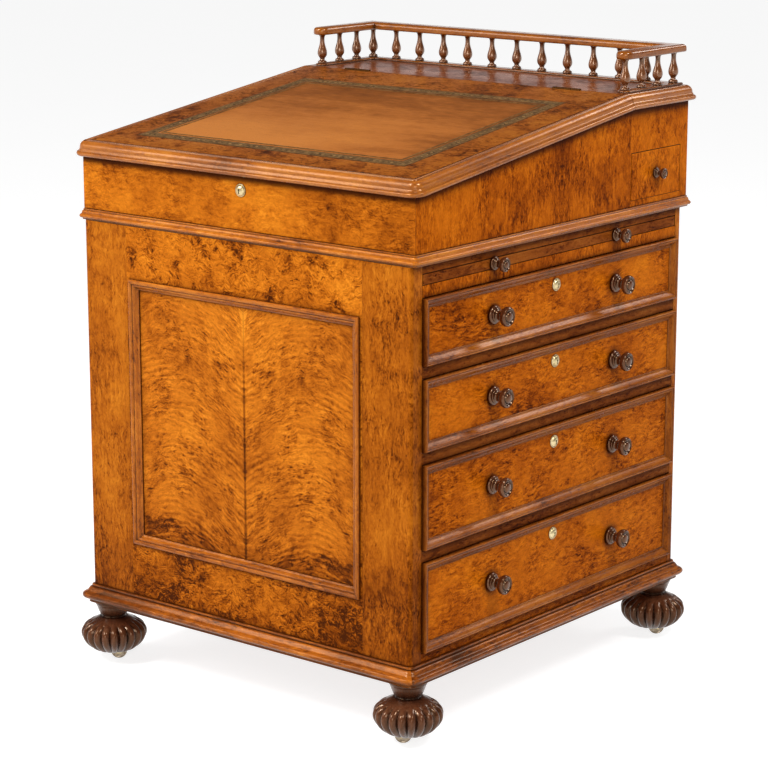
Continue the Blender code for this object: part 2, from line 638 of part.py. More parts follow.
def lock_solid(name, place, board):
    """A lock: domed escutcheon on the face, barrel through the board and case on its back."""
    bm = bmesh.new()
    add_turned(bm, [(BARREL_RADIUS, -board - 2 * GAP), (BARREL_RADIUS, GAP), (ESCUTCHEON_RADIUS, GAP),
                    (ESCUTCHEON_RADIUS, 0.5 * ESCUTCHEON_HEIGHT), (0.6 * ESCUTCHEON_RADIUS, ESCUTCHEON_HEIGHT)],
               KNOB_FACETS, place)
    lock = make_object(name, bm, "brass", smooth=True)
    bm = bmesh.new()
    add_box(bm, (-LOCK_HEIGHT / 2, -LOCK_WIDTH / 2, -board - GAP - LOCK_THICKNESS),
            (LOCK_HEIGHT / 2, LOCK_WIDTH / 2, -board - GAP))
    bmesh.ops.transform(bm, matrix=place, verts=bm.verts)
    combine(lock, make_object(f"{name}_case", bm), "UNION")
    return lock


def make_drawer(number, bottom, top):
    """A drawer: moulded front, open tray, two knobs on spigots and a lock."""
    slide = joint_empty(f"drawer_{number}_slide", (HALF_WIDTH, BAY_MIDDLE, (bottom + top) / 2))
    inner = HALF_WIDTH - DRAWER_FRONT_THICKNESS
    low, high = bottom + RUN, top - RUN
    bm = bmesh.new()
    section = [(0.0, -DRAWER_FRONT_THICKNESS)] + drawer_mould()
    add_stack(bm, [side_loop(HALF_WIDTH + height, BAY_FRONT + RUN, BAY_BACK - RUN, low, high, inset)
                   for inset, height in section])
    front = make_object(f"drawer_{number}_front", bm, "burr_walnut")
    outward = facing((1, 0, 0))
    lock_place = Matrix.Translation((HALF_WIDTH, BAY_MIDDLE, top - LOCK_DROP)) @ outward
    bm = bmesh.new()
    foot = [(SPIGOT_RADIUS, -SPIGOT_LENGTH), (SPIGOT_RADIUS, GAP), (0.72 * KNOB_RADIUS, GAP)]
    for side, end in ((-1, "front"), (1, "back")):
        place = Matrix.Translation((HALF_WIDTH, BAY_MIDDLE + side * KNOB_SPACING / 2, (bottom + top) / 2)) @ outward
        add_rod(bm, SPIGOT_RADIUS + GAP, -SPIGOT_LENGTH - GAP, SPIGOT_LENGTH, KNOB_FACETS, place)
        knob_bm = bmesh.new()
        add_turned(knob_bm, knob_profile(KNOB_RADIUS, KNOB_REACH, foot), KNOB_FACETS, place)
        carry(slide, make_object(f"drawer_{number}_knob_{end}", knob_bm, "dark_walnut", smooth=True))
    add_rod(bm, BARREL_RADIUS + GAP, -2 * DRAWER_FRONT_THICKNESS, DRAWER_FRONT_THICKNESS, KNOB_FACETS, lock_place)
    combine(front, make_object(f"drawer_{number}_bores", bm), "DIFFERENCE")
    lock = lock_solid(f"drawer_{number}_lock", lock_place, DRAWER_FRONT_THICKNESS)
    tray_left = BAY_LEFT + DRAWER_BACK_ROOM
    tray_front, tray_back = BAY_FRONT + 2 * RUN, BAY_BACK - 2 * RUN
    tray = box_object(f"drawer_{number}_tray", (tray_left, tray_front, bottom + GAP),
                      (inner - GAP, tray_back, top - DRAWER_SIDE_DROP), "lining")
    hollow = box_object(f"drawer_{number}_hollow",
                        (tray_left + DRAWER_WALL, tray_front + DRAWER_WALL, bottom + GAP + DRAWER_FLOOR),
                        (HALF_WIDTH, tray_back - DRAWER_WALL, top + DRAWER_SIDE_DROP), None)
    combine(tray, hollow, "DIFFERENCE")
    carry(slide, front, lock, tray)


def make_brushing_slide():
    """The pull-out slide above the drawers, with its two small knobs."""
    slide = joint_empty("brushing_slide_run", (HALF_WIDTH, BAY_MIDDLE, SLIDE_BOTTOM))
    board = box_object("brushing_slide", (BAY_LEFT + DRAWER_BACK_ROOM, BAY_FRONT + RUN, SLIDE_BOTTOM + GAP),
                       (HALF_WIDTH, BAY_BACK - RUN, SLIDE_TOP - RUN), "walnut")
    bm = bmesh.new()
    middle = (SLIDE_BOTTOM + SLIDE_TOP) / 2
    for side in (-1, 1):
        place = Matrix.Translation((HALF_WIDTH, BAY_MIDDLE + side * KNOB_SPACING / 2, middle)) @ facing((1, 0, 0))
        rooted_knob(bm, SLIDE_KNOB_RADIUS, SLIDE_KNOB_REACH, place)
    combine(board, make_object("slide_knobs", bm), "UNION")
    carry(slide, board)


def lid_underside(y):
    """Height of the lid's underside over the box, less the seat."""
    return TOP_UNDERSIDE - (HINGE_Y - y) * math.tan(SLOPE) - GAP / math.cos(SLOPE)


def make_writing_box(slide):
    """The box that slides on the pedestal: moulded base, four walls and the partition by the pen drawer."""
    bead_radius = 0.16 * BASE_HEIGHT
    middle = (BASE_REACH - bead_radius, 0.33 * BASE_HEIGHT)
    profile = [(0.1 * BASE_REACH, BASE_HEIGHT - GAP)]
    profile += ogee((0.2 * BASE_REACH, 0.94 * BASE_HEIGHT), (middle[0], middle[1] + bead_radius), 4)
    profile += bead(middle, bead_radius, 60, -90, 3)
    profile.append((0.4 * BASE_REACH, GAP))
    loops = [[(x, y, PEDESTAL_TOP + height)
              for x, y in plan(-BOX_HALF - out, BOX_HALF + out, BOX_FRONT - out, BOX_BACK + out, (0, 0, 0, 0))]
             for out, height in reversed(profile)]
    bm = bmesh.new()
    add_stack(bm, loops)
    base = make_object("box_base", bm, "walnut")
    bm = bmesh.new()
    for side in (-1, 1):
        x = side * TONGUE_SPACING / 2
        add_box(bm, (x - TONGUE_WIDTH / 2, TONGUE_FRONT, PEDESTAL_TOP - TONGUE_DEPTH + GAP),
                (x + TONGUE_WIDTH / 2, TONGUE_BACK, PEDESTAL_TOP + 0.5 * BASE_HEIGHT))
    combine(base, make_object("box_tongues", bm), "UNION")

    inner_front = BOX_FRONT + BOX_FRONT_THICKNESS
    inner_back = BOX_BACK - BOX_BACK_THICKNESS
    bm = bmesh.new()
    add_board(bm, [(BOX_FRONT, BASE_TOP), (inner_front, BASE_TOP),
                   (inner_front, lid_underside(inner_front)), (BOX_FRONT, lid_underside(BOX_FRONT))],
              -BOX_HALF, BOX_HALF)
    front = make_object("box_front", bm, "burr_walnut")
    lock_place = (Matrix.Translation((0, BOX_FRONT, lid_underside(BOX_FRONT) - BOX_LOCK_DROP))
                  @ facing((0, -1, 0)) @ Matrix.Rotation(math.pi / 2, 4, "Z"))
    bm = bmesh.new()
    add_rod(bm, BARREL_RADIUS + GAP, -2 * BOX_FRONT_THICKNESS, BOX_FRONT_THICKNESS, KNOB_FACETS, lock_place)
    combine(front, make_object("box_lock_bore", bm), "DIFFERENCE")
    lock = lock_solid("box_lock", lock_place, BOX_FRONT_THICKNESS)
    back = box_object("box_back", (-BOX_HALF, inner_back, BASE_TOP),
                      (BOX_HALF, BOX_BACK, TOP_UNDERSIDE - GAP), "burr_walnut")
    wall = [(inner_front + GAP, BASE_TOP), (inner_back - GAP, BASE_TOP), (inner_back - GAP, TOP_UNDERSIDE - GAP),
            (HINGE_Y, TOP_UNDERSIDE - GAP), (HINGE_Y - GAP, lid_underside(HINGE_Y - GAP)),
            (inner_front + GAP, lid_underside(inner_front + GAP))]
    bm = bmesh.new()
    add_board(bm, wall, -BOX_HALF, -BOX_HALF + BOX_SIDE_THICKNESS)
    left = make_object("box_left", bm, "burr_walnut")
    bm = bmesh.new()
    add_board(bm, wall, BOX_HALF - BOX_SIDE_THICKNESS, BOX_HALF)
    right = make_object("box_right", bm, "burr_walnut")
    opening = box_object("pen_drawer_opening", (BOX_HALF - 2 * BOX_SIDE_THICKNESS, PEN_FRONT, PEN_BOTTOM),
                         (BOX_HALF + BOX_SIDE_THICKNESS, PEN_BACK, PEN_BOTTOM + PEN_HEIGHT), None)
    combine(right, opening, "DIFFERENCE")
    wall_front = HINGE_Y
    wall_back = HINGE_Y + PARTITION_THICKNESS
    bearer = PEN_BOTTOM - GAP
    bm = bmesh.new()
    add_board(bm, [(wall_front, BASE_TOP), (inner_back - GAP, BASE_TOP), (inner_back - GAP, bearer),
                   (wall_back, bearer), (wall_back, TOP_UNDERSIDE - GAP), (wall_front, TOP_UNDERSIDE - GAP)],
              -BOX_HALF + BOX_SIDE_THICKNESS + GAP, BOX_HALF - BOX_SIDE_THICKNESS - GAP)
    partition = make_object("pen_partition", bm, "lining")
    carry(slide, base, front, lock, back, left, right, partition)


def make_top(slide):
    """The fixed top behind the hinge line, with the moulded edge on three sides."""
    thickness = TOP_SURFACE - TOP_UNDERSIDE
    loops = []
    for out, height in reversed(edge_profile(thickness, LID_REACH, LID_ARRIS)):
        outline = plan(-BOX_HALF - out, BOX_HALF + out, HINGE_Y + LID_JOINT, BOX_BACK + out,
                       (0, 0, LID_CORNER + out, LID_CORNER + out))
        loops.append([(x, y, TOP_UNDERSIDE + height) for x, y in outline])
    bm = bmesh.new()
    add_stack(bm, loops)
    top = make_object("box_top", bm, "burr_walnut")
    cut_hinge_seats(top, 1)
    carry(slide, top)


def lid_place():
    return Matrix.Translation((0, HINGE_Y, TOP_SURFACE)) @ Matrix.Rotation(SLOPE, 4, "X")


def make_lid(lid):
    """The sloping lid, moulded on three sides, with the leather let into its top."""
    place = lid_place()
    loops = []
    for out, height in reversed(edge_profile(LID_THICKNESS, LID_REACH, LID_ARRIS)):
        depth = height - LID_THICKNESS
        back = (depth * math.sin(SLOPE) - LID_JOINT) / math.cos(SLOPE)
        outline = plan(-BOX_HALF - out, BOX_HALF + out, -LID_LENGTH - out, back,
                       (LID_CORNER + out, LID_CORNER + out, 0, 0))
        loops.append([place @ Vector((x, y, depth)) for x, y in outline])
    bm = bmesh.new()
    add_stack(bm, loops)
    board = make_object("lid_board", bm, "burr_walnut")
    left, right = -BOX_HALF + LEATHER_SIDE, BOX_HALF - LEATHER_SIDE
    low, high = -LID_LENGTH + LEATHER_FRONT, -LEATHER_BACK
    sink = LEATHER_THICKNESS + GAP
    bm = bmesh.new()
    add_box(bm, (left, low, -sink), (right, high, LID_THICKNESS))
    bmesh.ops.transform(bm, matrix=place, verts=bm.verts)
    combine(board, make_object("leather_recess", bm), "DIFFERENCE")
    cut_hinge_seats(board, -1)
    bm = bmesh.new()
    add_box(bm, (left + GAP, low + GAP, -LEATHER_THICKNESS), (right - GAP, high - GAP, 0))
    bmesh.ops.transform(bm, matrix=place, verts=bm.verts)
    carry(lid, board, make_object("lid_leather", bm, "leather"))


def hinge_places():
    return {"left": -HINGE_SPACING / 2, "right": HINGE_SPACING / 2}


def span(side, near, far):
    """Low and high Y on one side of the hinge line: -1 towards the lid, 1 towards the fixed top."""
    return sorted((HINGE_Y + side * near, HINGE_Y + side * far))


def cut_hinge_seats(board, side):
    """Seats for the leaf and the knuckles of each hinge in one edge of the joint."""
    leaf = bmesh.new()
    knuckle = bmesh.new()
    for x in hinge_places().values():
        half = HINGE_LENGTH / 2 + GAP
        for bm, near, far, drop in ((leaf, -LID_JOINT, LEAF_SEAT + GAP, LEAF_DEPTH + GAP),
                                    (knuckle, -LID_JOINT, KNUCKLE_ROOM, KNUCKLE_ROOM)):
            y0, y1 = span(side, near, far)
            add_box(bm, (x - half, y0, TOP_SURFACE - drop), (x + half, y1, TOP_SURFACE + LID_THICKNESS))
    combine(board, make_object(f"{board.name}_leaf_seats", leaf), "DIFFERENCE")
    combine(board, make_object(f"{board.name}_knuckle_seats", knuckle), "DIFFERENCE")


def make_hinges(slide, lid):
    """Butt hinges: a leaf with two knuckles and the pin on the fixed top, and one with the middle knuckle on the lid."""
    third = HINGE_LENGTH / 3
    along = facing((1, 0, 0))
    for name, x in hinge_places().items():
        place = Matrix.Translation((x, HINGE_Y, TOP_SURFACE)) @ along
        leaves = {}
        for side, kind, runs in ((1, "fixed", (-1, 1)), (-1, "moving", (0,))):
            y0, y1 = span(side, LID_JOINT / 2, LEAF_SEAT)
            bm = bmesh.new()
            add_box(bm, (x - HINGE_LENGTH / 2, y0, TOP_SURFACE - LEAF_DEPTH),
                    (x + HINGE_LENGTH / 2, y1, TOP_SURFACE - KNUCKLE_ROOM))
            leaf = make_object(f"hinge_{name}_{kind}_leaf", bm, "brass")
            tabs = bmesh.new()
            barrels = bmesh.new()
            for run in runs:
                middle = x + run * third
                half = third / 2 - GAP
                add_box(tabs, (middle - half, y0, TOP_SURFACE - 1.2 * KNUCKLE_ROOM), (middle + half, y1, TOP_SURFACE))
                add_rod(barrels, KNUCKLE_RADIUS, run * third - half, run * third + half, KNOB_FACETS, place)
            combine(leaf, make_object(f"{leaf.name}_tabs", tabs), "UNION")
            combine(leaf, make_object(f"{leaf.name}_barrels", barrels), "UNION")
            leaves[kind] = leaf
        pin = bmesh.new()
        add_rod(pin, PIN_RADIUS, -HINGE_LENGTH / 2 + GAP, HINGE_LENGTH / 2 - GAP, SMALL_FACETS, place)
        combine(leaves["fixed"], make_object(f"hinge_{name}_pin", pin), "UNION")
        bore = bmesh.new()
        add_rod(bore, PIN_RADIUS + GAP, -HINGE_LENGTH, HINGE_LENGTH, SMALL_FACETS, place)
        combine(leaves["moving"], make_object(f"hinge_{name}_bore", bore), "DIFFERENCE")
        carry(slide, leaves["fixed"])
        carry(lid, leaves["moving"])


def gallery_outline(half, row_x, row_front, row_back):
    """A rail round three sides as (x, y) points: round front ends and mitred back corners."""
    points = []
    for side in (-1, 1):
        for step in range(CORNER_FACETS * 2 + 1):
            angle = math.pi + math.pi * step / (CORNER_FACETS * 2)
            points.append((side * row_x + half * math.cos(angle), row_front + half * math.sin(angle)))
        if side < 0:
            points += [(-row_x + half, row_back - half), (row_x - half, row_back - half)]
    return points + [(row_x + half, row_back + half), (-row_x - half, row_back + half)]


def spindle_profile(low, high):
    """A vase-shaped spindle: foot ring, waist, low belly, long neck and top ring."""
    shape = ((0.95, 0.0), (0.95, 0.06), (0.55, 0.13), (1.0, 0.29), (0.84, 0.45),
             (0.50, 0.76), (0.66, 0.83), (0.52, 0.89), (0.80, 1.0))
    return [(share * SPINDLE_RADIUS, low + rise * (high - low)) for share, rise in shape]


def spindle_places(row_x, row_front, row_back):
    places = []
    for i in range(BACK_SPINDLES):
        places.append((-row_x + 2 * row_x * i / (BACK_SPINDLES - 1), row_back))
    for i in range(SIDE_SPINDLES):
        y = row_front + (row_back - row_front) * i / SIDE_SPINDLES
        places += [(-row_x, y), (row_x, y)]
    return places


def make_gallery(slide):
    """The gallery: a rounded rail on turned spindles, with a thin strip under their feet, glued up as one."""
    row = (BOX_HALF - GALLERY_INSET, BOX_BACK - GALLERY_BACK_INSET - GALLERY_LENGTH, BOX_BACK - GALLERY_BACK_INSET)
    strip_bottom = TOP_SURFACE + GAP
    strip_top = strip_bottom + STRIP_THICKNESS
    rail_bottom = strip_top + SPINDLE_HEIGHT
    half = RAIL_WIDTH / 2
    bm = bmesh.new()
    section = ((0.22, 0.0), (0.0, 0.28), (0.0, 0.62), (0.10, 0.86), (0.32, 1.0))
    add_stack(bm, [[(x, y, rail_bottom + rise * RAIL_THICKNESS)
                    for x, y in gallery_outline(half * (1 - inset), *row)] for inset, rise in section])
    gallery = make_object("gallery", bm, "walnut")
    root = 0.3 * STRIP_THICKNESS
    bm = bmesh.new()
    for x, y in spindle_places(*row):
        add_turned(bm, spindle_profile(strip_top - root, rail_bottom + root), SPINDLE_FACETS,
                   Matrix.Translation((x, y, 0)))
    combine(gallery, make_object("gallery_spindles", bm), "UNION")
    bm = bmesh.new()
    add_stack(bm, [[(x, y, z) for x, y in gallery_outline(STRIP_WIDTH / 2, *row)] for z in (strip_bottom, strip_top)])
    combine(gallery, make_object("gallery_strip", bm), "UNION")
    carry(slide, gallery)


def make_pen_drawer(slide):
    """The little drawer in the right side of the box: front, tray and knob in one."""
    run = joint_empty("pen_drawer_run", (BOX_HALF, (PEN_FRONT + PEN_BACK) / 2, PEN_BOTTOM), slide)
    front, back = PEN_FRONT + RUN, PEN_BACK - RUN
    low, high = PEN_BOTTOM + GAP, PEN_BOTTOM + PEN_HEIGHT - RUN
    drawer = box_object("pen_drawer", (BOX_HALF - PEN_DEPTH, front, low), (BOX_HALF, back, high), "walnut")
    hollow = box_object("pen_drawer_hollow", (BOX_HALF - PEN_DEPTH + PEN_WALL, front + PEN_WALL, low + PEN_WALL),
                        (BOX_HALF - PEN_FRONT_THICKNESS, back - PEN_WALL, high + PEN_HEIGHT), None)
    combine(drawer, hollow, "DIFFERENCE")
    bm = bmesh.new()
    middle = Vector((BOX_HALF, (front + back) / 2, (low + high) / 2))
    rooted_knob(bm, PEN_KNOB_RADIUS, PEN_KNOB_REACH, Matrix.Translation(middle) @ facing((1, 0, 0)))
    combine(drawer, make_object("pen_knob", bm), "UNION")
    carry(run, drawer)


def make_desk():
    make_front()
    make_back()
    make_dummy_side()
    make_carcase_inside()
    make_plinth()
    make_feet()
    make_castors()
    for number, (bottom, top) in enumerate(LEVELS, start=1):
        make_drawer(number, bottom, top)
    make_brushing_slide()
    slide = joint_empty("writing_box_slide", (0, BOX_FRONT, PEDESTAL_TOP))
    lid = joint_empty("lid_hinge", (0, HINGE_Y, TOP_SURFACE), slide)
    make_writing_box(slide)
    make_top(slide)
    make_lid(lid)
    make_hinges(slide, lid)
    make_gallery(slide)
    make_pen_drawer(slide)


make_desk()
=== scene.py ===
"""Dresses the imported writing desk: veneers, mouldings, turnings, leather and brass, on a plain stage.

Metres, +Z up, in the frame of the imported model. The front faces -Y and the drawers pull out towards +X.
"""

import json
import math

import bmesh
import bpy
import numpy as np
from bpy.props import FloatProperty, FloatVectorProperty, IntProperty, PointerProperty
from mathutils import Matrix, Vector


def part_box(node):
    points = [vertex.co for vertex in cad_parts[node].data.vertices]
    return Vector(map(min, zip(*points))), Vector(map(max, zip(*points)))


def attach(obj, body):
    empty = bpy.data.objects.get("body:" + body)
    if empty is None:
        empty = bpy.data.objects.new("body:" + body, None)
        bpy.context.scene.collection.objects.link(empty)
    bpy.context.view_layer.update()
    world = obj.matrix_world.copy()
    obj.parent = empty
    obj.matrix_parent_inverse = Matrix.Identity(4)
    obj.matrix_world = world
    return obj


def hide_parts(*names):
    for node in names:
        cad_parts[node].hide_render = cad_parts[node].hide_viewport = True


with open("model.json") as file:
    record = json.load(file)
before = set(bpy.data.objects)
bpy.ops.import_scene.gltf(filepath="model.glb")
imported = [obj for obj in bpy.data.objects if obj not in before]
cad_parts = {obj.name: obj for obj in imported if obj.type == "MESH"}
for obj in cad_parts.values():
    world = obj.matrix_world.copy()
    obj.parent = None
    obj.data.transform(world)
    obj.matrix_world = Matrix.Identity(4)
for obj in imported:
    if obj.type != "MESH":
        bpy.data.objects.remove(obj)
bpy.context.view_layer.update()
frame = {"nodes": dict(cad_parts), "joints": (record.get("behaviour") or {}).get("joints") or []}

bl_info = {
    "name": "Writing Desk",
    "version": (1, 0, 0),
    "blender": (4, 5, 0),
    "location": "3D View > Sidebar > Desk",
    "description": "Veneers, mouldings, turnings, leather and brass of a slope-top writing desk",
    "category": "Object",
}

JOINTS = {joint["name"]: joint for joint in frame["joints"]}
CORNERS = ("fl", "fr", "bl", "br")
DRAWERS = (1, 2, 3, 4)
SIDES = ((-1, "left"), (1, "right"))
ENDS = ("front", "back")
RIGHT, LEFT, AHEAD = (1, 0, 0), (-1, 0, 0), (0, -1, 0)

# Clearances and roundings
GAP = 0.0003  # gap or overlap of pieces that are glued or rest on each other
RUN = 0.0008  # between pieces that slide past each other
TINY = 0.0001  # at mitres and joints in veneer
CLEAR = 0.01  # how far a cutter stands out of what it cuts
SHARP = math.radians(40)  # edges that turn more than this stay crisp
GRAIN_STEP = 0.37  # sets faces of different grain apart in the log
FRAME_ARRIS = 0.0003
BOARD_ARRIS = 0.0004
RAIL_ARRIS = 0.0005
PEN_ARRIS = 0.0006
TRAY_ARRIS = 0.0008
SLIDE_ARRIS = 0.0014

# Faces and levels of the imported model
FRAME_LOW, FRAME_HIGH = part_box("front_frame")
HALF = FRAME_HIGH.x
FRONT = FRAME_LOW.y
BACK = -FRONT
BOTTOM, TOP = FRAME_LOW.z, FRAME_HIGH.z
BAY_FRONT = FRAME_HIGH.y
BAY_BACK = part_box("pedestal_back")[0].y
SLIDE_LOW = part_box("drawer_divider_1")[1].z
SLIDE_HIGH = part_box("pedestal_top")[0].z
PLINTH_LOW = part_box("plinth")[0].z
BOX_LOW, BOX_FRONT_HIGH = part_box("box_front")
BOX_HALF = -BOX_LOW.x
BOX_FRONT = BOX_LOW.y
BOX_INNER = BOX_FRONT_HIGH.y
BASE_TOP = BOX_LOW.z
BACK_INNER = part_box("box_back")[0].y
BOX_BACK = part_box("box_back")[1].y
HINGE = Vector(JOINTS["lid_hinge"]["pos_m"])
TOP_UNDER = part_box("box_back")[1].z + GAP
TOP_THICKNESS = HINGE.z - TOP_UNDER
SLOPE = math.atan2(TOP_UNDER - GAP - BOX_FRONT_HIGH.z, HINGE.y - BOX_INNER)

# Lid, its leather and the fixed top
LID = Matrix.Translation(HINGE) @ Matrix.Rotation(SLOPE, 4, "X")
LID_LENGTH = (HINGE.y - BOX_FRONT) / math.cos(SLOPE)
LID_THICKNESS = TOP_THICKNESS * math.cos(SLOPE)
LID_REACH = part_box("lid_board")[1].x - BOX_HALF
LID_JOINT = 0.0004
LID_CORNER = 0.006
LEAST_CORNER = 0.001
LID_FRAME = 0.0200  # width of the moulded frame round the lid and the fixed top
RECESS_DEPTH = 0.0015
BAND_RISE = 0.0001
LINE_RISE = 0.0002
MOTIF_SIZE = 0.0036
MOTIF_RISE = 0.00028
LEATHER_DEPTH = 0.0012
LEATHER_LEFT, LEATHER_RIGHT = -BOX_HALF + 0.054, BOX_HALF - 0.054
LEATHER_LOW, LEATHER_HIGH = -LID_LENGTH + 0.0478, -0.0636

# Framed panel
STILE_LINE = 0.0765  # width of a stile up to the joint beside the moulding
PANEL_LOW, PANEL_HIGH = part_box("front_panel_moulding")
PANEL_LAP = 0.004
PANEL_RECESS = 0.005
PANEL_MOULD = 0.0136
PANEL_REBATE = 0.0046
CORNER_RADIUS = 0.005

# Drawers, knobs, locks and the writing box
DRAWER_BOARD = 0.020
FACE_INSET = 0.0006  # the face lies this far inside its edging
EDGING = 0.0125
EDGING_HEIGHT = 0.0068
FIELD_INSET = 0.004
FIELD_DEPTH = 0.002
DRAWER_KNOB = (0.0132, 0.0276 - GAP)  # radius and reach
SLIDE_KNOB = (0.0098, 0.0215)
PEN_KNOB = (0.0075, 0.0165)
PEN_FRONT = 0.012
PEN_WALL = 0.006
PEN_OPENING = 0.03  # depth of the cut through the box's side
BOX_WALL = 0.014
ESCUTCHEON = 0.0083
LOCK_CASE = (0.020, 0.014, 0.007)  # half width, half height and depth
LOCK_FACETS = 40
BARREL = 0.0042  # radius of a lock's barrel
TONGUE_PLACE = 0.150  # the tongues under the box, from its middle
TONGUE_HALF = 0.006
TONGUE_FRONT = 0.215  # from the front of the drawers' bay
TONGUE_BACK = 0.015
TONGUE_DROP = 0.0047
TONGUE_RISE = 0.0075

# Plinth, feet and wheels
PLINTH_REACH = 0.0154
BUN_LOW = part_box("bun_foot_fl")[0].z + 0.0028
BUN_RADIUS = 0.0445
BUN_BASE = 0.0195
BUN_HEIGHT = 0.0484
NECK_RADIUS = 0.0187
COLLAR_RADIUS = 0.0245
LOBE_FACETS = 10  # points round one lobe
WELL_RADIUS = 0.018
WELL_TOP = 0.0263
STEM_RADIUS = 0.0035  # where the castor's stem enters the foot
WHEEL_RADIUS = 0.011
WHEEL_WIDTH = 0.008
WHEEL_FACETS = 48

# Gallery
GALLERY_LOW, GALLERY_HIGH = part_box("gallery")
RAIL_HALF = 0.01225
RAIL_THICKNESS = 0.0105
STRIP_HALF = 0.0095
STRIP_THICKNESS = 0.0025
SPINDLE_RADIUS = 0.0069
SPINDLE_FACETS = 28
BACK_BAYS, END_BAYS = 12, 3  # spaces between the spindles along the back and along each end
ROW_X = GALLERY_HIGH.x - RAIL_HALF
ROW_FRONT = GALLERY_LOW.y + RAIL_HALF
ROW_BACK = GALLERY_HIGH.y - RAIL_HALF


# Settings


def colour_setting(name, description, default):
    return FloatVectorProperty(name=name, description=description, default=default, subtype="COLOR",
                               size=3, min=0.0, max=1.0)


def length_setting(name, description, default, low, high):
    return FloatProperty(name=name, description=description, default=default, min=low, max=high,
                         unit="LENGTH")


def count_setting(name, description, default, low, high):
    return IntProperty(name=name, description=description, default=default, min=low, max=high)


def angle_setting(name, description, degrees):
    return FloatProperty(name=name, description=description, default=math.radians(degrees), subtype="ANGLE")


def power_setting(name, description, default):
    return FloatProperty(name=name, description=description, default=default, min=0.0, unit="POWER")


class DeskFinishes(bpy.types.PropertyGroup):
    """Colours of the woods, the leather and the brass."""

    veneer: colour_setting("Veneer", "Middle tone of the burr veneers", (0.54, 0.142, 0.007))
    panel: colour_setting("Panel", "Middle tone of the bookmatched panel", (0.56, 0.151, 0.0085))
    stile: colour_setting("Stiles", "Middle tone of the straight-grained veneer", (0.435, 0.111, 0.0055))
    drawer: colour_setting("Drawers", "Middle tone of the drawer fronts", (0.50, 0.111, 0.003))
    rail: colour_setting("Rails", "Middle tone of the rails between the drawers", (0.245, 0.058, 0.006))
    lid: colour_setting("Lid", "Middle tone of the lid", (0.25, 0.065, 0.0045))
    top: colour_setting("Fixed top", "Middle tone of the top behind the hinges", (0.205, 0.048, 0.008))
    moulding: colour_setting("Mouldings", "Middle tone of the walnut mouldings", (0.44, 0.118, 0.009))
    polished: colour_setting("Lid's edge", "Middle tone of the lid's moulded edge", (0.34, 0.092, 0.009))
    edging: colour_setting("Edgings", "Middle tone of the drawers' edgings", (0.31, 0.080, 0.008))
    turning: colour_setting("Knobs", "Middle tone of the turned knobs", (0.085, 0.022, 0.007))
    spindle: colour_setting("Spindles", "Middle tone of the gallery's spindles", (0.150, 0.044, 0.012))
    foot: colour_setting("Feet", "Middle tone of the bun feet", (0.092, 0.028, 0.011))
    lining: colour_setting("Linings", "Middle tone of drawer linings and hidden boards", (0.36, 0.19, 0.080))
    leather: colour_setting("Leather", "Middle tone of the writing leather", (0.345, 0.103, 0.0146))
    tooling: colour_setting("Tooling", "Old gilt of the leather's border", (0.42, 0.235, 0.085))
    brass: colour_setting("Brass", "Brass of locks, hinges and castors", (0.68, 0.55, 0.30))


class DeskSizes(bpy.types.PropertyGroup):
    """Fine sizes of the dressing."""

    lobes: count_setting("Lobes", "Lobes round each bun foot", 20, 8, 32)
    lobe_depth: length_setting("Lobe depth", "Depth of the grooves between the lobes", 0.0050, 0.001, 0.006)
    border: length_setting("Border", "Inset of the border from the leather's edge", 0.0028, 0.002, 0.03)
    border_width: length_setting("Border width", "Width of the border's band", 0.0128, 0.004, 0.03)
    inner_line: length_setting("Inner line", "Inset of the inner line from the leather's edge", 0.0215,
                               0.01, 0.06)
    motif: length_setting("Motif pitch", "Distance from one tooled leaf to the next", 0.0092, 0.003, 0.02)
    turns: count_setting("Turned facets", "Facets round a turned piece", 48, 16, 96)


class DeskStage(bpy.types.PropertyGroup):
    """Camera, lights and floor."""

    lens: FloatProperty(name="Lens", description="Focal length of the camera", default=123.0, min=35.0,
                        max=300.0, subtype="DISTANCE_CAMERA")
    place: FloatVectorProperty(name="Camera place", description="Where the camera stands", size=3,
                               default=(2.184, -2.696, 1.182), subtype="TRANSLATION")
    pitch: angle_setting("Pitch", "How far the camera looks down", 13.13)
    heading: angle_setting("Heading", "How far the camera is turned from the front", 39.08)
    key: power_setting("Key", "Power of the softbox at the front left", 70.0)
    fill: power_setting("Fill", "Power of the softbox at the right", 44.0)
    edge: power_setting("Edge light", "Power of the softbox low at the left", 24.0)
    front: power_setting("Front light", "Power of the softbox behind the camera", 44.0)
    back: power_setting("Back light", "Power of the softbox behind the desk", 26.0)
    sky: FloatProperty(name="Sky", description="Strength of the light from all round", default=0.28, min=0.0)
    floor: colour_setting("Floor", "Colour of the floor", (0.45, 0.45, 0.45))


# Shapes


def loft(loops, ring=False):
    """Points and faces through loops of equal length, capped at both ends or closed on itself as a ring."""
    count, rows = len(loops[0]), len(loops)
    points = [tuple(point) for loop in loops for point in loop]
    faces = []
    for row in range(rows if ring else rows - 1):
        near, far = row * count, (row + 1) % rows * count
        for i in range(count):
            j = (i + 1) % count
            faces.append((near + i, near + j, far + j, far + i))
    if not ring:
        faces.append(tuple(range(count)))
        faces.append(tuple(range((rows - 1) * count, rows * count)))
    return points, faces


def joined(shapes):
    """Several shapes as one."""
    points, faces = [], []
    for more_points, more_faces in shapes:
        start = len(points)
        points += more_points
        faces += [tuple(start + i for i in face) for face in more_faces]
    return points, faces


def moved(shape, place):
    points, faces = shape
    return [tuple(place @ Vector(point)) for point in points], faces


def rectangle(u0, u1, v0, v1, inset=0.0):
    """Corners of a rectangle as (u, v) points, drawn in by the inset."""
    u0, u1, v0, v1 = u0 + inset, u1 - inset, v0 + inset, v1 - inset
    return [(u0, v0), (u1, v0), (u1, v1), (u0, v1)]


def upright(outline, low, high):
    """A solid that stands on an (x, y) outline."""
    return loft([[(x, y, z) for x, y in outline] for z in (low, high)])


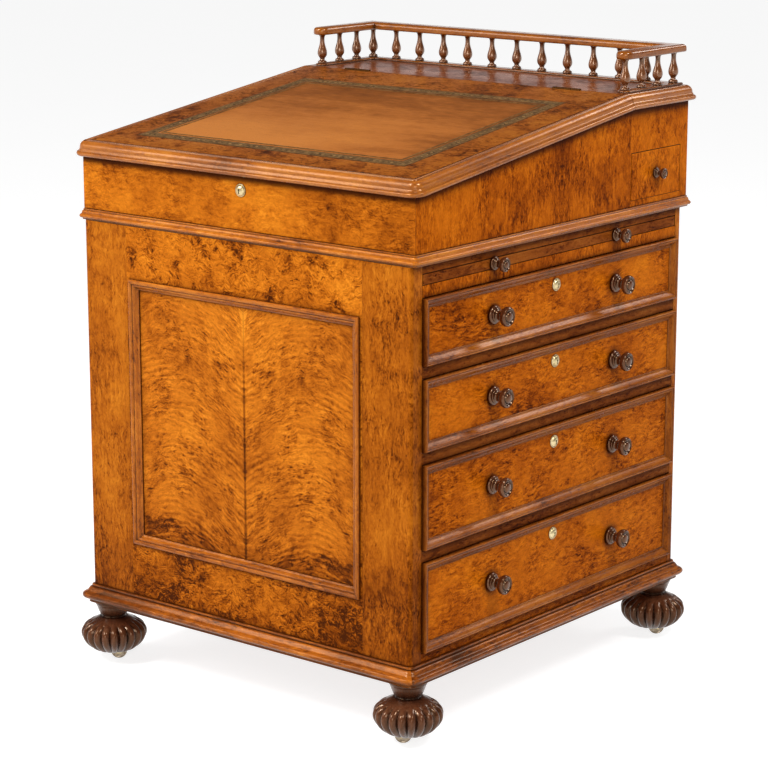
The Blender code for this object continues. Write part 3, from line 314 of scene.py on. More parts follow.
def brick(low, high):
    return upright(rectangle(low[0], high[0], low[1], high[1]), low[2], high[2])


def on_face(axis, level, points):
    """(u, z) points stood up on a face that is square to x (axis 0) or to y (axis 1)."""
    return [(level, u, z) if axis == 0 else (u, level, z) for u, z in points]


def surround(section, axis, level, out, low, high):
    """A moulding round a rectangle on a face, from (inset, height) points of its section."""
    u = 1 - axis
    return loft([on_face(axis, level + out * height, rectangle(low[u], high[u], low.z, high.z, inset))
                 for inset, height in section], ring=True)


def plan(x0, x1, y0, y1, radii, steps=8):
    """(x, y) points of a rectangle, with radii: front left, front right, back right, back left."""
    corners = ((x0, y0, 1, 1), (x1, y0, -1, 1), (x1, y1, -1, -1), (x0, y1, 1, -1))
    points = []
    for quarter, ((x, y, to_x, to_y), radius) in enumerate(zip(corners, radii)):
        if not radius:
            points.append((x, y))
            continue
        for step in range(steps + 1):
            angle = math.pi + math.pi / 2 * (quarter + step / steps)
            points.append((x + to_x * radius + radius * math.cos(angle),
                           y + to_y * radius + radius * math.sin(angle)))
    return points


def skirt(profile, half, front, back, level, corner):
    """A moulding round a box, from (out, height) points. The corner gives the plan's radius for each out."""
    loops = []
    for out, height in profile:
        outline = plan(-half - out, half + out, front - out, back + out, [corner(out)] * 4)
        loops.append([(x, y, level + height) for x, y in outline])
    return loft(loops)


def ogee(start, end, steps=14):
    """An S-shaped run between two (out, height) points, level at both ends."""
    run = []
    for i in range(steps + 1):
        t = i / steps
        height = start[1] + (end[1] - start[1]) * (1 - math.cos(math.pi * t)) / 2
        run.append((start[0] + (end[0] - start[0]) * t, height))
    return run


def bead(centre, radius, from_degrees, to_degrees, steps=12, rise=None):
    """(out, height) points on a circle, or an ellipse of another rise. 0 degrees is straight out."""
    run = []
    for i in range(steps + 1):
        angle = math.radians(from_degrees + (to_degrees - from_degrees) * i / steps)
        run.append((centre[0] + radius * math.cos(angle), centre[1] + (rise or radius) * math.sin(angle)))
    return run


def eased(points, steps=5):
    """A smooth run through the points."""
    run = []
    for i in range(len(points) - 1):
        before, start = points[max(i - 1, 0)], points[i]
        end, after = points[i + 1], points[min(i + 2, len(points) - 1)]
        for k in range(steps):
            t = k / steps
            run.append(tuple(0.5 * (2 * b + (c - a) * t + (2 * a - 5 * b + 4 * c - d) * t * t
                                    + (3 * b - a - 3 * c + d) * t ** 3)
                             for a, b, c, d in zip(before, start, end, after)))
    return run + [points[-1]]


def circle(count):
    """Angles evenly round a circle."""
    return [math.tau * i / count for i in range(count)]


def facing(direction):
    """Turns the Z axis of a turned piece to a face's outward direction."""
    return Vector((0, 0, 1)).rotation_difference(Vector(direction)).to_matrix().to_4x4()


def turned(profile, place, facets, ring=False):
    """A turned solid from (radius, height) points, about the Z axis of place."""
    around = circle(facets)
    loops = [[place @ Vector((r * math.cos(t), r * math.sin(t), h)) for t in around] for r, h in profile]
    return loft(loops, ring)


def middle(node):
    """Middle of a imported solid's box."""
    low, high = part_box(node)
    return [(a + b) / 2 for a, b in zip(low, high)]


# Pieces


def name_shift(name):
    """A place in the log for each piece, so that no two show the same figure."""
    mark = sum((i + 1) * ord(letter) for i, letter in enumerate(name))
    return np.array([(mark * 0.173) % 7.0, (mark * 0.311) % 5.0, (mark * 0.529) % 3.0])


def read(items, key, kind, width=1):
    """One value, or several, of every item of a mesh."""
    values = np.empty(len(items) * width, kind)
    items.foreach_get(key, values)
    return values


def corner_points(mesh):
    """The place of each face corner, the face it belongs to, and how many corners each face has."""
    places = read(mesh.vertices, "co", np.float32, 3).reshape(-1, 3)
    index = read(mesh.loops, "vertex_index", np.int32)
    totals = read(mesh.polygons, "loop_total", np.int32)
    return places[index].astype(float), np.repeat(np.arange(len(totals)), totals), totals


def longest_axis(points, face, totals):
    """The axis along which each face's longest edge runs, one for each corner."""
    starts = np.cumsum(totals) - totals
    after = np.arange(len(points)) + 1
    after[starts + totals - 1] = starts
    edge = points[after] - points
    length = (edge ** 2).sum(1)
    longest = np.maximum.reduceat(length, starts)
    found = np.flatnonzero(length >= longest[face] - 1e-12)
    _, first = np.unique(face[found], return_index=True)
    return np.abs(edge[found[first]]).argmax(1)[face]


def lay(mesh, name, *columns):
    """Writes up to three numbers for each face corner, for a finish to read."""
    values = np.zeros((len(columns[0]), 3), np.float32)
    for k, column in enumerate(columns):
        values[:, k] = column
    layer = mesh.attributes.new(name, "FLOAT_VECTOR", "CORNER")
    layer.data.foreach_set("vector", values.ravel())


def lay_grain(mesh, name, grain):
    """Writes how the grain runs: along, across and into the wood, in metres."""
    points, face, totals = corner_points(mesh)
    axis = longest_axis(points, face, totals) if grain == "run" else np.full(len(points), "xyz".index(grain))
    rows = np.arange(len(points))
    values = np.stack([points[rows, (axis + k) % 3] for k in range(3)], axis=1)
    values[:, 2] += GRAIN_STEP * axis
    lay(mesh, "grain", *(values + name_shift(name)).T)


def lay_wear(mesh):
    """Marks the rounded arrises, which the Bevel gave a second material index, and puts the index back."""
    marks = read(mesh.polygons, "material_index", np.int32)
    _, face, _ = corner_points(mesh)
    layer = mesh.attributes.new("worn", "FLOAT", "CORNER")
    layer.data.foreach_set("value", (marks[face] > 0).astype(np.float32))
    mesh.polygons.foreach_set("material_index", np.zeros(len(marks), np.int32))


def raw_object(name, shape):
    """An object of the shape, with its like points merged and its faces turned outwards."""
    mesh = bpy.data.meshes.new(name)
    mesh.from_pydata(shape[0], [], shape[1])
    bm = bmesh.new()
    bm.from_mesh(mesh)
    bmesh.ops.remove_doubles(bm, verts=bm.verts, dist=1e-7)
    bmesh.ops.recalc_face_normals(bm, faces=bm.faces)
    bm.to_mesh(mesh)
    bm.free()
    mesh.shade_smooth()
    obj = bpy.data.objects.new(name, mesh)
    bpy.context.scene.collection.objects.link(obj)
    return obj


def modify(obj, name, kind, **settings):
    modifier = obj.modifiers.new(name, kind)
    for key, value in settings.items():
        setattr(modifier, key, value)


def settle(obj, arris, cuts):
    """Cuts and rounds the raw board, and keeps the result as its mesh."""
    cutters = [raw_object(f"{obj.name}_cut", cut) for cut in cuts]
    for cutter in cutters:
        modify(obj, "cut", "BOOLEAN", operation="DIFFERENCE", solver="EXACT", object=cutter)
    if arris:
        modify(obj, "arris", "BEVEL", width=arris, segments=3, limit_method="ANGLE", angle_limit=SHARP,
               use_clamp_overlap=True, material=1)
        for _ in range(2):
            obj.data.materials.append(None)
        modify(obj, "even", "WEIGHTED_NORMAL", weight=90, keep_sharp=False)
    bpy.context.view_layer.update()
    graph = bpy.context.evaluated_depsgraph_get()
    made = obj.evaluated_get(graph)
    mesh = bpy.data.meshes.new_from_object(made, preserve_all_data_layers=True, depsgraph=graph)
    old = obj.data
    obj.modifiers.clear()
    obj.data = mesh
    mesh.name = obj.name
    bpy.data.meshes.remove(old)
    for cutter in cutters:
        used = cutter.data
        bpy.data.objects.remove(cutter)
        bpy.data.meshes.remove(used)
    if arris:
        lay_wear(mesh)
        mesh.materials.clear()
    else:
        mesh.set_sharp_from_angle(angle=SHARP)


def add_piece(name, shape, finish, body, stands_for=None, grain="run", arris=0.0, cuts=()):
    """Makes a piece of a finish, or of the wood of that name, lays its grain and hangs it on its body."""
    obj = raw_object(name, shape)
    if arris or cuts:
        settle(obj, arris, cuts)
    else:
        obj.data.set_sharp_from_angle(angle=SHARP)
    lay_grain(obj.data, name, grain)
    obj.data.materials.append(wood(finish) if isinstance(finish, str) else finish)
    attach(obj, body)
    if stands_for:
        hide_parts(stands_for)
    return obj


def dress(node, finish, arris):
    """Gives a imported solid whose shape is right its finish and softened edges."""
    obj = frame["nodes"].get(node)
    if obj is None:
        raise RuntimeError(f"the packed model has no piece named {node}")
    for slot in obj.material_slots:
        slot.material = finish
    if arris:
        modify(obj, "weld", "WELD", merge_threshold=1e-5)
        modify(obj, "arris", "BEVEL", width=arris, segments=2, limit_method="ANGLE",
               angle_limit=math.radians(50))


# Finishes


class Recipe:
    """A material or a world, put together one step at a time. A step gives the socket of its result."""

    def __init__(self, name, kind="materials"):
        self.made = getattr(bpy.data, kind).new(name)
        self.made.use_nodes = True
        self.tree = self.made.node_tree
        self.shader = self.tree.nodes.get("Principled BSDF")

    def put(self, node, name, value):
        socket = node.inputs[name]
        if isinstance(value, bpy.types.NodeSocket):
            self.tree.links.new(value, socket)
        elif socket.type == "RGBA" and len(value) == 3:
            socket.default_value = (*value, 1.0)
        else:
            socket.default_value = value

    def step(self, kind, result=0, settings=None, places=None, **values):
        """Adds a node with its settings and its inputs, given by place or by name, and gives its result."""
        node = self.tree.nodes.new("ShaderNode" + kind)
        for key, setting in (settings or {}).items():
            setattr(node, key, setting)
        for place, value in (places or {}).items():
            self.put(node, place, value)
        for key, value in values.items():
            self.put(node, key.replace("_", " "), value)
        return node.outputs[result]

    def attribute(self, name, result="Vector"):
        return self.step("Attribute", result, {"attribute_name": name})

    def noise(self, vector, scale, detail=2.0, roughness=0.5, result="Fac"):
        return self.step("TexNoise", result, Vector=vector, Scale=scale, Detail=detail, Roughness=roughness)

    def math(self, operation, *values):
        return self.step("Math", 0, {"operation": operation}, dict(enumerate(values)))

    def total(self, start, *parts):
        """The start plus each value times its share."""
        for value, share in parts:
            start = self.math("MULTIPLY_ADD", value, share, start)
        return start

    def between(self, value, low, high, start=0.0, end=1.0):
        """A soft step from start to end as the value goes from low to high."""
        return self.step("MapRange", 0, {"interpolation_type": "SMOOTHSTEP"}, Value=value, From_Min=low,
                         From_Max=high, To_Min=start, To_Max=end)

    def stretch(self, vector, scale, turn=(0.0, 0.0, 0.0)):
        return self.step("Mapping", Vector=vector, Scale=scale, Rotation=turn)

    def drift(self, vector, by, size):
        """The vector moved by a noise colour."""
        places = {0: by, 1: (size, size, size), 2: vector}
        return self.step("VectorMath", 0, {"operation": "MULTIPLY_ADD"}, places)

    def blend(self, share, first, second):
        return self.step("Mix", 2, {"data_type": "RGBA"}, {0: share, 6: first, 7: second})

    def ramp(self, value, middle, stops):
        """Colours along a value, each one the middle tone times its factors."""
        colour = self.step("ValToRGB", "Color", Fac=value)
        elements = colour.node.color_ramp.elements
        while len(elements) < len(stops):
            elements.new(0.5)
        for element, (place, factors) in zip(elements, stops):
            element.position = place
            element.color = (*toned(middle, factors), 1.0)
        return colour

    def crevice(self, reach):
        return self.step("AmbientOcclusion", "AO", {"samples": 6}, Distance=reach)

    def seen(self):
        """1 for a ray that sees the background: from the camera, or by way of metal or glass."""
        total = self.step("LightPath", "Is Camera Ray")
        rays = total.node.outputs
        for name in ("Is Glossy Ray", "Is Transmission Ray"):
            total = self.math("MAXIMUM", total, rays[name])
        return total

    def relief(self, height, strength, depth):
        bump = self.step("Bump", 0, Height=height, Strength=strength, Distance=depth)
        self.put(self.shader, "Normal", bump)

    def finish(self, **values):
        for key, value in values.items():
            self.put(self.shader, key.replace("_", " "), value)
        return self.made


def toned(colour, factors):
    return tuple(min(c * f, 1.0) for c, f in zip(colour, factors))


WOODS = {
    # setting, burr, figure, streak, speckle, roughness, specular, coat, coat roughness, painted shade and
    # grime in crevices, and its reach
    "panel veneer": ("panel", 0.60, 0.95, 0.45, 0.90, 0.36, 0.08, 0.0, 0.22, 0.90, 0.016),
    "burr veneer": ("veneer", 1.32, 1.20, 0.40, 1.00, 0.36, 0.06, 0.0, 0.22, 0.90, 0.016),
    "box veneer": ("veneer", 0.45, 0.85, 0.25, 0.40, 0.34, 0.06, 0.0, 0.22, 0.97, 0.040),
    "side veneer": ("drawer", 0.45, 1.05, 0.60, 0.40, 0.34, 0.03, 0.0, 0.22, 0.97, 0.040),
    "straight veneer": ("stile", 0.50, 0.85, 0.70, 0.80, 0.36, 0.08, 0.0, 0.22, 0.90, 0.016),
    "drawer veneer": ("drawer", 0.60, 1.25, 0.30, 0.40, 0.36, 0.03, 0.0, 0.22, 0.97, 0.020),
    "rail veneer": ("rail", 0.30, 0.90, 0.80, 0.80, 0.36, 0.03, 0.0, 0.22, 0.85, 0.010),
    "slide veneer": ("rail", 0.30, 0.90, 0.80, 0.80, 0.34, 0.03, 0.0, 0.22, 0.90, 0.012),
    "lid veneer": ("lid", 1.00, 1.15, 0.50, 0.90, 0.32, 0.06, 0.0, 0.10, 0.90, 0.010),
    "top veneer": ("top", 0.80, 0.90, 0.60, 0.70, 0.30, 0.12, 0.06, 0.05, 0.90, 0.010),
    "moulding walnut": ("moulding", 0.10, 0.75, 0.90, 0.70, 0.24, 0.45, 0.10, 0.14, 0.97, 0.007),
    "polished walnut": ("polished", 0.10, 0.70, 0.90, 0.60, 0.26, 0.70, 0.25, 0.20, 0.97, 0.007),
    "gallery walnut": ("lid", 0.10, 0.70, 0.90, 0.60, 0.24, 0.50, 0.50, 0.14, 0.97, 0.012),
    "edging walnut": ("edging", 0.10, 0.75, 0.90, 0.70, 0.24, 0.20, 0.03, 0.12, 0.97, 0.007),
    "turned walnut": ("turning", 0.10, 0.50, 0.80, 0.45, 0.20, 0.80, 0.35, 0.10, 0.97, 0.012),
    "spindle walnut": ("spindle", 0.10, 0.50, 0.80, 0.45, 0.18, 1.00, 1.00, 0.14, 0.97, 0.012),
    "foot walnut": ("foot", 0.10, 0.70, 0.90, 0.60, 0.22, 0.40, 0.24, 0.10, 0.97, 0.016),
    "lining wood": ("lining", 0.05, 0.40, 0.90, 0.45, 0.60, 0.15, 0.0, 0.30, 0.70, 0.016),
}
GRAIN_TURNS = {"x": (0, 0, 0), "y": (0, 0, -math.pi / 2), "z": (0, math.pi / 2, 0)}
DARKER_LOW = ("panel veneer", "burr veneer", "straight veneer", "moulding walnut")  # darker towards the plinth
LID_SHADOW_LEVEL = 0.1  # for the painted shadow under the lid's overhang: what the box's walls carry at their tops, falling with the depth below the lid
LEAF_WIDTH = 0.155  # width of a veneer leaf on the box's sides
SHELLAC = (1.0, 0.55, 0.24)  # warm tint that old shellac gives a highlight
WHITE = (1.0, 1.0, 1.0)


def wood(name, axis=None):
    """A wood of the table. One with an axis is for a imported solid, whose grain runs along that axis."""
    title = name if axis is None else f"{name} along {axis}"
    made = bpy.data.materials.get(title)
    if made:
        return made
    setting, burr, figure, streak, speckle, *shine, shade_and_grime_share, reach = WOODS[name]
    roughness, specular, coat, coat_roughness = shine
    tint = tuple(getattr(bpy.context.scene.desk_finishes, setting))
    r = Recipe(title)
    if axis:
        grain = r.stretch(r.step("TexCoord", "Object"), (1, 1, 1), GRAIN_TURNS[axis])
    elif name == "panel veneer":
        grain = leaf_grain(r)
    elif name == "side veneer":
        grain, joint = matched_grain(r)
    else:
        grain = r.attribute("grain")
    bent = r.drift(grain, r.noise(r.stretch(grain, (0.5, 1, 1)), 7.0, result="Color"), 0.045)
    gather = r.between(r.noise(bent, 17.0), 0.46, 0.64)
    lively = r.between(r.noise(bent, 24.0), 0.36, 0.62, 0.55, 1.15)
    curled = r.drift(bent, r.noise(bent, 45.0, result="Color"), 0.022 * burr)
    flow = r.noise(r.stretch(curled, (4.5, 46, 46)), 1.0, 3.0, 0.55)
    streaks = r.noise(r.stretch(curled, (9, 190, 190)), 1.0, 4.0, 0.65)
    fibre = r.noise(r.stretch(curled, (0.30, 1, 1)), 250.0, 3.0, 0.70)
    pepper = r.noise(r.stretch(curled, (0.60, 1, 1)), 520.0, 1.0)
    mottle = r.noise(r.stretch(curled, (0.45, 1, 1)), 110.0, 3.0, 0.60)
    blotch = r.noise(bent, 9.0, 3.0, 0.55)
    patches = r.between(r.noise(bent, 34.0, 3.0, 0.60), 0.50, 0.66)
    specks = r.between(r.noise(r.stretch(curled, (0.35, 1, 1)), 340.0, 1.0), 0.30, 0.42, 1.0, 0.0)
    swirl = r.noise(curled, 85.0, 2.0, 0.55)
    lines = r.between(r.math("ABSOLUTE", r.math("SUBTRACT", swirl, 0.5)), 0.0, 0.06, 1.0, 0.0)
    islands = r.between(r.noise(r.stretch(curled, (0.6, 1, 1)), 150.0, 3.0, 0.60), 0.36, 0.50, 1.0, 0.0)
    eyes = r.math("MULTIPLY", gather, r.total(r.math("MULTIPLY", islands, 0.75), (lines, 0.45)))
    fine = r.total(r.math("MULTIPLY", mottle, 0.40 * figure), (fibre, 1.20 * figure),
                   (pepper, 0.50 * figure))
    fine = r.total(r.math("SUBTRACT", fine, 1.05 * figure), (specks, -0.24 * speckle))
    tone = 0.555 - 0.5 * (0.42 * streak + 0.50 * streak + 0.95)
    tone = r.total(tone, (streaks, 0.50 * streak), (flow, 0.42 * streak), (blotch, 0.95))
    tone = r.math("ADD", tone, r.math("MULTIPLY", fine, lively))
    tone = r.total(tone, (lines, -0.06 * burr), (patches, -0.16 * burr), (eyes, -0.24 * burr))
    if name == "panel veneer":
        tone = leaf_shading(r, tone, blotch, curled, patches)
    if name == "side veneer":
        tone = r.math("SUBTRACT", tone, joint)
    if name in DARKER_LOW and not axis:
        height = r.step("SeparateXYZ", 2, Vector=r.step("TexCoord", "Object"))
        tone = r.math("SUBTRACT", tone, r.between(height, BOTTOM, BOTTOM + 0.20, 0.24, 0.0))
    colour = r.ramp(tone, tint, (
        (0.02, (0.12, 0.09, 0.16)),
        (0.25, (0.46, 0.37, 0.36)),
        (0.48, (0.95, 0.92, 0.92)),
        (0.68, (1.26, 1.38, 1.45)),
        (0.95, (1.55, 2.00, 2.60)),
    ))
    worn = r.math("MULTIPLY", r.attribute("worn", "Fac"), r.between(blotch, 0.42, 0.62, 0.05, 0.45))
    colour = r.blend(worn, colour, toned(tint, (1.45, 1.8, 2.6)))
    # Painted shade and grime: ambient occlusion darkens crevices, recesses and the wood beside mouldings and
    # under overhangs towards a near-black tone.
    shade_and_grime = r.between(r.crevice(reach), 0.56, 0.985, shade_and_grime_share, 0.0)
    # Painted shadow under the lid's overhang: the box's walls darken towards their tops, where they meet the
    # lid.
    if name in ("box veneer", "side veneer"):
        near = r.step("SeparateXYZ", 0, Vector=r.attribute("lidded"))
        shade_and_grime = r.math("MAXIMUM", shade_and_grime, r.between(near, LID_SHADOW_LEVEL - 0.012, LID_SHADOW_LEVEL - 0.003, 0.0, 0.92))
    colour = r.blend(shade_and_grime, colour, toned(tint, (0.09, 0.055, 0.10)))
    r.relief(r.math("ADD", streaks, r.math("MULTIPLY", specks, -0.6)), 0.12, 0.0003)
    rough = r.between(tone, 0.15, 0.75, roughness + 0.10, roughness - 0.04)
    return r.finish(Base_Color=colour, Roughness=rough, Specular_IOR_Level=specular, Specular_Tint=SHELLAC,
                    Coat_Weight=coat, Coat_Roughness=coat_roughness)


def leaf_grain(r):
    """Grain of a bookmatched leaf: it rises from the joint, arches over and falls towards the stile."""
    out = r.step("SeparateXYZ", 0, Vector=r.attribute("leaf"))
    arch = r.math("SINE", r.math("MULTIPLY", out, math.pi / 0.23))
    return r.step("CombineXYZ", X=out, Y=r.total(out.node.outputs[1], (arch, 0.042)))


def matched_grain(r):
    """Grain of upright leaves side by side, each the mirror of the next, and the dark joints between."""
    along = r.step("SeparateXYZ", 0, Vector=r.attribute("grain"))
    _, into, across = along.node.outputs
    folded = r.math("PINGPONG", across, LEAF_WIDTH)
    shifted = r.total(along, (r.math("FLOOR", r.math("DIVIDE", across, 2 * LEAF_WIDTH)), 0.41))
    near = r.math("MINIMUM", folded, r.math("SUBTRACT", LEAF_WIDTH, folded))
    joint = r.math("ADD", r.between(near, 0.0004, 0.0016, 0.10, 0.0), r.between(near, 0.0, 0.030, 0.10, 0.0))
    return r.step("CombineXYZ", X=shifted, Y=folded, Z=into), joint


def leaf_shading(r, tone, blotch, curled, patches):
    """A panel leaf's figure: growth rings, a pale flash at the top, a wisp and dark lower corners."""
    leaf = r.attribute("leaf")
    out = r.step("SeparateXYZ", 0, Vector=leaf)
    drop = out.node.outputs[1]
    across = r.step("SeparateXYZ", 1, Vector=curled)
    rings = r.math("SINE", r.math("MULTIPLY", across, math.tau / 0.0078))
    rings = r.math("MULTIPLY", rings, r.between(r.noise(leaf, 13.0), 0.44, 0.62, 0.0, 0.11))
    ragged = r.total(r.math("SUBTRACT", out, 0.006), (blotch, 0.012))
    edge = r.total(0.0115, (drop, -0.15))
    flash = r.between(r.math("SUBTRACT", ragged, edge), -0.0025, 0.0012, 0.38, 0.0)
    corner = r.math("MULTIPLY", r.between(out, 0.02, 0.17), r.between(drop, 0.19, 0.32))
    corner = r.math("MULTIPLY", corner, r.total(0.10, (patches, 0.20)))
    joint = r.math("MULTIPLY", r.between(out, 0.0006, 0.0030, 0.30, 0.0),
                   r.between(drop, 0.06, 0.12, 0.25, 1.0))
    level = r.math("ABSOLUTE", r.total(r.math("SUBTRACT", drop, 0.095), (out, -0.12)))
    level = r.total(level, (r.math("SUBTRACT", blotch, 0.5), 0.10))
    wisp = r.math("MULTIPLY", r.between(level, 0.004, 0.030, 1.0, 0.0),
                  r.between(out, 0.0, 0.13, 0.16, 0.03))
    tone = r.math("SUBTRACT", tone, r.math("MULTIPLY", wisp, r.total(0.45, (patches, 0.9))))
    tone = r.math("ADD", r.math("ADD", tone, flash), rings)
    return r.math("SUBTRACT", r.math("SUBTRACT", tone, corner), joint)


def leather():
    """Old calf, worn pale where it is leant on and dark round the rim."""
    tint = tuple(bpy.context.scene.desk_finishes.leather)
    r = Recipe("writing leather")
    skin = r.attribute("grain")
    across = r.step("SeparateXYZ", 0, Vector=r.attribute("place"))
    along = across.node.outputs[1]
    rim = r.math("MAXIMUM", r.math("ABSOLUTE", across), r.math("ABSOLUTE", along))
    leant_on = r.math("MULTIPLY", r.between(along, -0.95, 0.70, 1.0, 0.0),
                      r.between(across, 0.0, 0.95, 1.0, 0.35))
    cloud = r.noise(r.drift(skin, r.noise(skin, 5.0, result="Color"), 0.10), 7.0, 4.0, 0.6)
    handling = r.noise(r.stretch(skin, (6, 34, 1)), 1.0, 4.0, 0.6)
    scuffs = r.noise(r.stretch(skin, (60, 190, 1)), 1.0, 3.0, 0.6)
    tone = r.total(-0.47, (cloud, 0.80), (handling, 0.64), (scuffs, 0.42), (leant_on, 0.52),
                   (r.between(rim, 0.78, 1.0), -0.14))
    colour = r.ramp(tone, tint, (
        (0.22, (0.36, 0.32, 0.34)),
        (0.46, (0.72, 0.69, 0.70)),
        (0.66, (1.08, 1.10, 1.14)),
        (1.00, (1.40, 1.58, 1.85)),
    ))
    bumpy = r.drift(skin, r.noise(skin, 300.0, 1.0, result="Color"), 0.001)
    pebble = r.step("TexVoronoi", "Distance", {"feature": "SMOOTH_F1"}, Vector=bumpy, Scale=620.0)
    creases = r.between(pebble, 0.35, 0.75)
    colour = r.blend(r.math("MULTIPLY", creases, 0.18), colour, toned(tint, (0.4, 0.35, 0.35)))
    r.relief(r.total(r.math("MULTIPLY", creases, -0.5), (r.noise(skin, 60.0, 3.0), 0.6)), 0.30, 0.0004)
    rough = r.between(tone, 0.3, 0.8, 0.50, 0.40)
    return r.finish(Base_Color=colour, Roughness=rough, Specular_IOR_Level=0.12, Specular_Tint=SHELLAC)


def gilt(name, factors, metal):
    """Old gilt tooling, rubbed through to dark leather in places."""
    tint = toned(bpy.context.scene.desk_finishes.tooling, factors)
    r = Recipe(name)
    skin = r.attribute("grain")
    rub = r.noise(skin, 90.0, 3.0, 0.65)
    colour = r.ramp(rub, tint, ((0.34, (0.30, 0.28, 0.35)), (0.56, WHITE), (0.78, (1.7, 1.75, 1.7))))
    r.relief(r.noise(skin, 700.0), 0.25, 0.0002)
    rough = r.between(rub, 0.3, 0.7, 0.55, 0.36)
    return r.finish(Base_Color=colour, Roughness=rough, Metallic=metal, Specular_IOR_Level=0.2)


def brass(name="old brass", factors=WHITE, packed=False):
    """Tarnished brass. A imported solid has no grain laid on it, so its own places are used."""
    made = bpy.data.materials.get(name)
    if made:
        return made
    tint = toned(bpy.context.scene.desk_finishes.brass, factors)
    r = Recipe(name)
    place = r.step("TexCoord", "Object") if packed else r.attribute("grain")
    tarnish = r.noise(place, 190.0, 4.0, 0.65)
    colour = r.ramp(tarnish, tint, ((0.30, (0.42, 0.36, 0.28)), (0.52, WHITE), (0.75, (1.12, 1.18, 1.35))))
    shade_and_grime = r.between(r.crevice(0.003), 0.30, 0.90, 0.85, 0.0)
    colour = r.blend(shade_and_grime, colour, (0.045, 0.026, 0.010))
    r.relief(r.noise(place, 900.0), 0.08, 0.0002)
    return r.finish(Base_Color=colour, Roughness=r.between(tarnish, 0.3, 0.75, 0.42, 0.20), Metallic=1.0)


# Turnings and mouldings


def knob_shape(radius, reach, place, facets):
    """Flange, neck and cushioned head with a ring turned on its face."""
    flange = eased([(0.82, -0.01), (0.90, 0.03), (0.91, 0.08), (0.85, 0.13), (0.73, 0.165)], 3)
    step = eased([(0.68, 0.17), (0.70, 0.20), (0.63, 0.235)], 3)
    neck = eased([(0.56, 0.245), (0.44, 0.30), (0.40, 0.37), (0.42, 0.44), (0.52, 0.50), (0.60, 0.53)], 3)
    collar = eased([(0.64, 0.535), (0.67, 0.555), (0.64, 0.58)], 3)
    head = eased([(0.64, 0.59), (0.84, 0.63), (0.95, 0.71), (0.96, 0.80), (0.90, 0.885), (0.78, 0.930)], 4)
    groove = [(0.72, 0.915), (0.64, 0.855), (0.55, 0.860)]
    boss = eased([(0.50, 0.900), (0.42, 0.945), (0.24, 0.985), (0.03, 0.997)], 3)
    profile = [(radius * r, reach * h) for r, h in flange + step + neck + collar + head + groove + boss]
    return turned(profile, place, facets)


def add_knob(name, size, seat, direction, body, stands_for):
    """A turned knob of a radius and reach, on a side of the desk."""
    place = Matrix.Translation(seat) @ facing(direction)
    shape = knob_shape(*size, place, bpy.context.scene.desk_sizes.turns)
    add_piece(name, shape, "turned walnut", body, stands_for, grain="x")


def add_lock(name, seat, direction, board, body, node):
    """A round domed escutcheon with a keyhole, its barrel and the case behind the board."""
    out, rise = Vector(direction), Vector((0, 0, 1))
    place = Matrix.Translation(seat) @ Matrix((rise.cross(out), rise, out)).transposed().to_4x4()
    rim = eased([(1.0, 0.0), (1.0, 0.0006), (0.96, 0.0011), (0.90, 0.0012)], 3)
    dome = eased([(0.86, 0.0010), (0.80, 0.0018), (0.62, 0.0032), (0.36, 0.0040), (0.02, 0.0043)], 4)
    face = turned([(ESCUTCHEON * r, h) for r, h in rim + dome], place, LOCK_FACETS)
    eye, slot, foot = 0.00135, 0.00095, -0.0040  # the keyhole's radius, half width and lower end
    hole = [(eye * math.cos(t), 0.0010 + eye * math.sin(t)) for t in np.linspace(-1.05, 4.19, 14)]
    hole = [(slot, foot)] + hole + [(-slot, foot)]
    keyhole = moved(upright(hole, 0.0008, 0.006), place)
    add_piece(f"{name}_escutcheon", face, brass(), body, node, grain="x", cuts=[keyhole])
    wide, high, deep = LOCK_CASE
    case = brick((-wide, -high, -board - GAP - deep), (wide, high, -board - GAP))
    barrel = turned([(BARREL, -board - 0.0005), (BARREL, -0.0002)], Matrix(), 20)
    add_piece(f"{name}_case", moved(joined([case, barrel]), place), brass(), body, arris=RAIL_ARRIS)


def edging_section():
    """Section of a drawer's edging, as (inset, height) points round a closed loop: bead, quirk and slope."""
    high, wide = EDGING_HEIGHT, EDGING
    outer = eased([(0.0002, 0.72 * high), (0.0006, 0.93 * high), (0.0014, high), (0.0022, 0.95 * high)], 4)
    quirk = [(0.0026, 0.84 * high)]
    slope = eased([(0.0030, 0.88 * high), (0.0046, 0.80 * high), (0.0072, 0.50 * high),
                   (0.0094, 0.20 * high), (0.0106, 0.10 * high)], 4)
    fillet = eased([(0.0109, 0.09 * high), (0.0116, 0.15 * high), (0.0123, 0.10 * high), (wide, 0.0003)], 3)
    seat = [(wide, -0.001), (0.002, -0.0016), (0.002, -0.006)]
    return [(0.0, -0.006), (0.0, 0.48 * high)] + outer + quirk + slope + fillet + seat


def panel_section():
    """Section of the panel moulding, as (inset, height above the frame) points, outer edge first."""
    outer = eased([(0.0, 0.0006), (0.0001, 0.0022), (0.0010, 0.0037), (0.0027, 0.0045), (0.0046, 0.0041),
                   (0.0058, 0.0030)], 4)
    inner = eased([(0.0069, 0.0021), (0.0081, 0.0019), (0.0096, 0.0004), (0.0112, -0.0018),
                   (0.0126, -0.0028)], 4)
    edge = eased([(0.0129, -0.0028), (PANEL_MOULD, -0.0034), (PANEL_MOULD, -PANEL_REBATE)], 3)
    return outer + [(0.0063, 0.0018)] + inner + edge


def add_leaves(name, y0, y1, low, high, node):
    """Two bookmatched leaves of a panel, whose figure mirrors at the joint."""
    left = brick((low.x, y0, low.z), (-TINY, y1, high.z))
    right = brick((TINY, y0, low.z), (high.x, y1, high.z))
    leaves = add_piece(name, joined([left, right]), "panel veneer", "pedestal", node,
                       grain="z", arris=FRAME_ARRIS)
    points, _, _ = corner_points(leaves.data)
    lay(leaves.data, "leaf", np.abs(points[:, 0]), high.z - points[:, 2])


def board_profile(thickness):
    """Upper edge of the lid's board or the fixed top's, where it meets its frame."""
    edge = LID_REACH - LID_FRAME
    return [(edge, 0.0), (edge, thickness - 0.0007), (edge - 0.0004, thickness - 0.0001),
            (edge - 0.0012, thickness)]


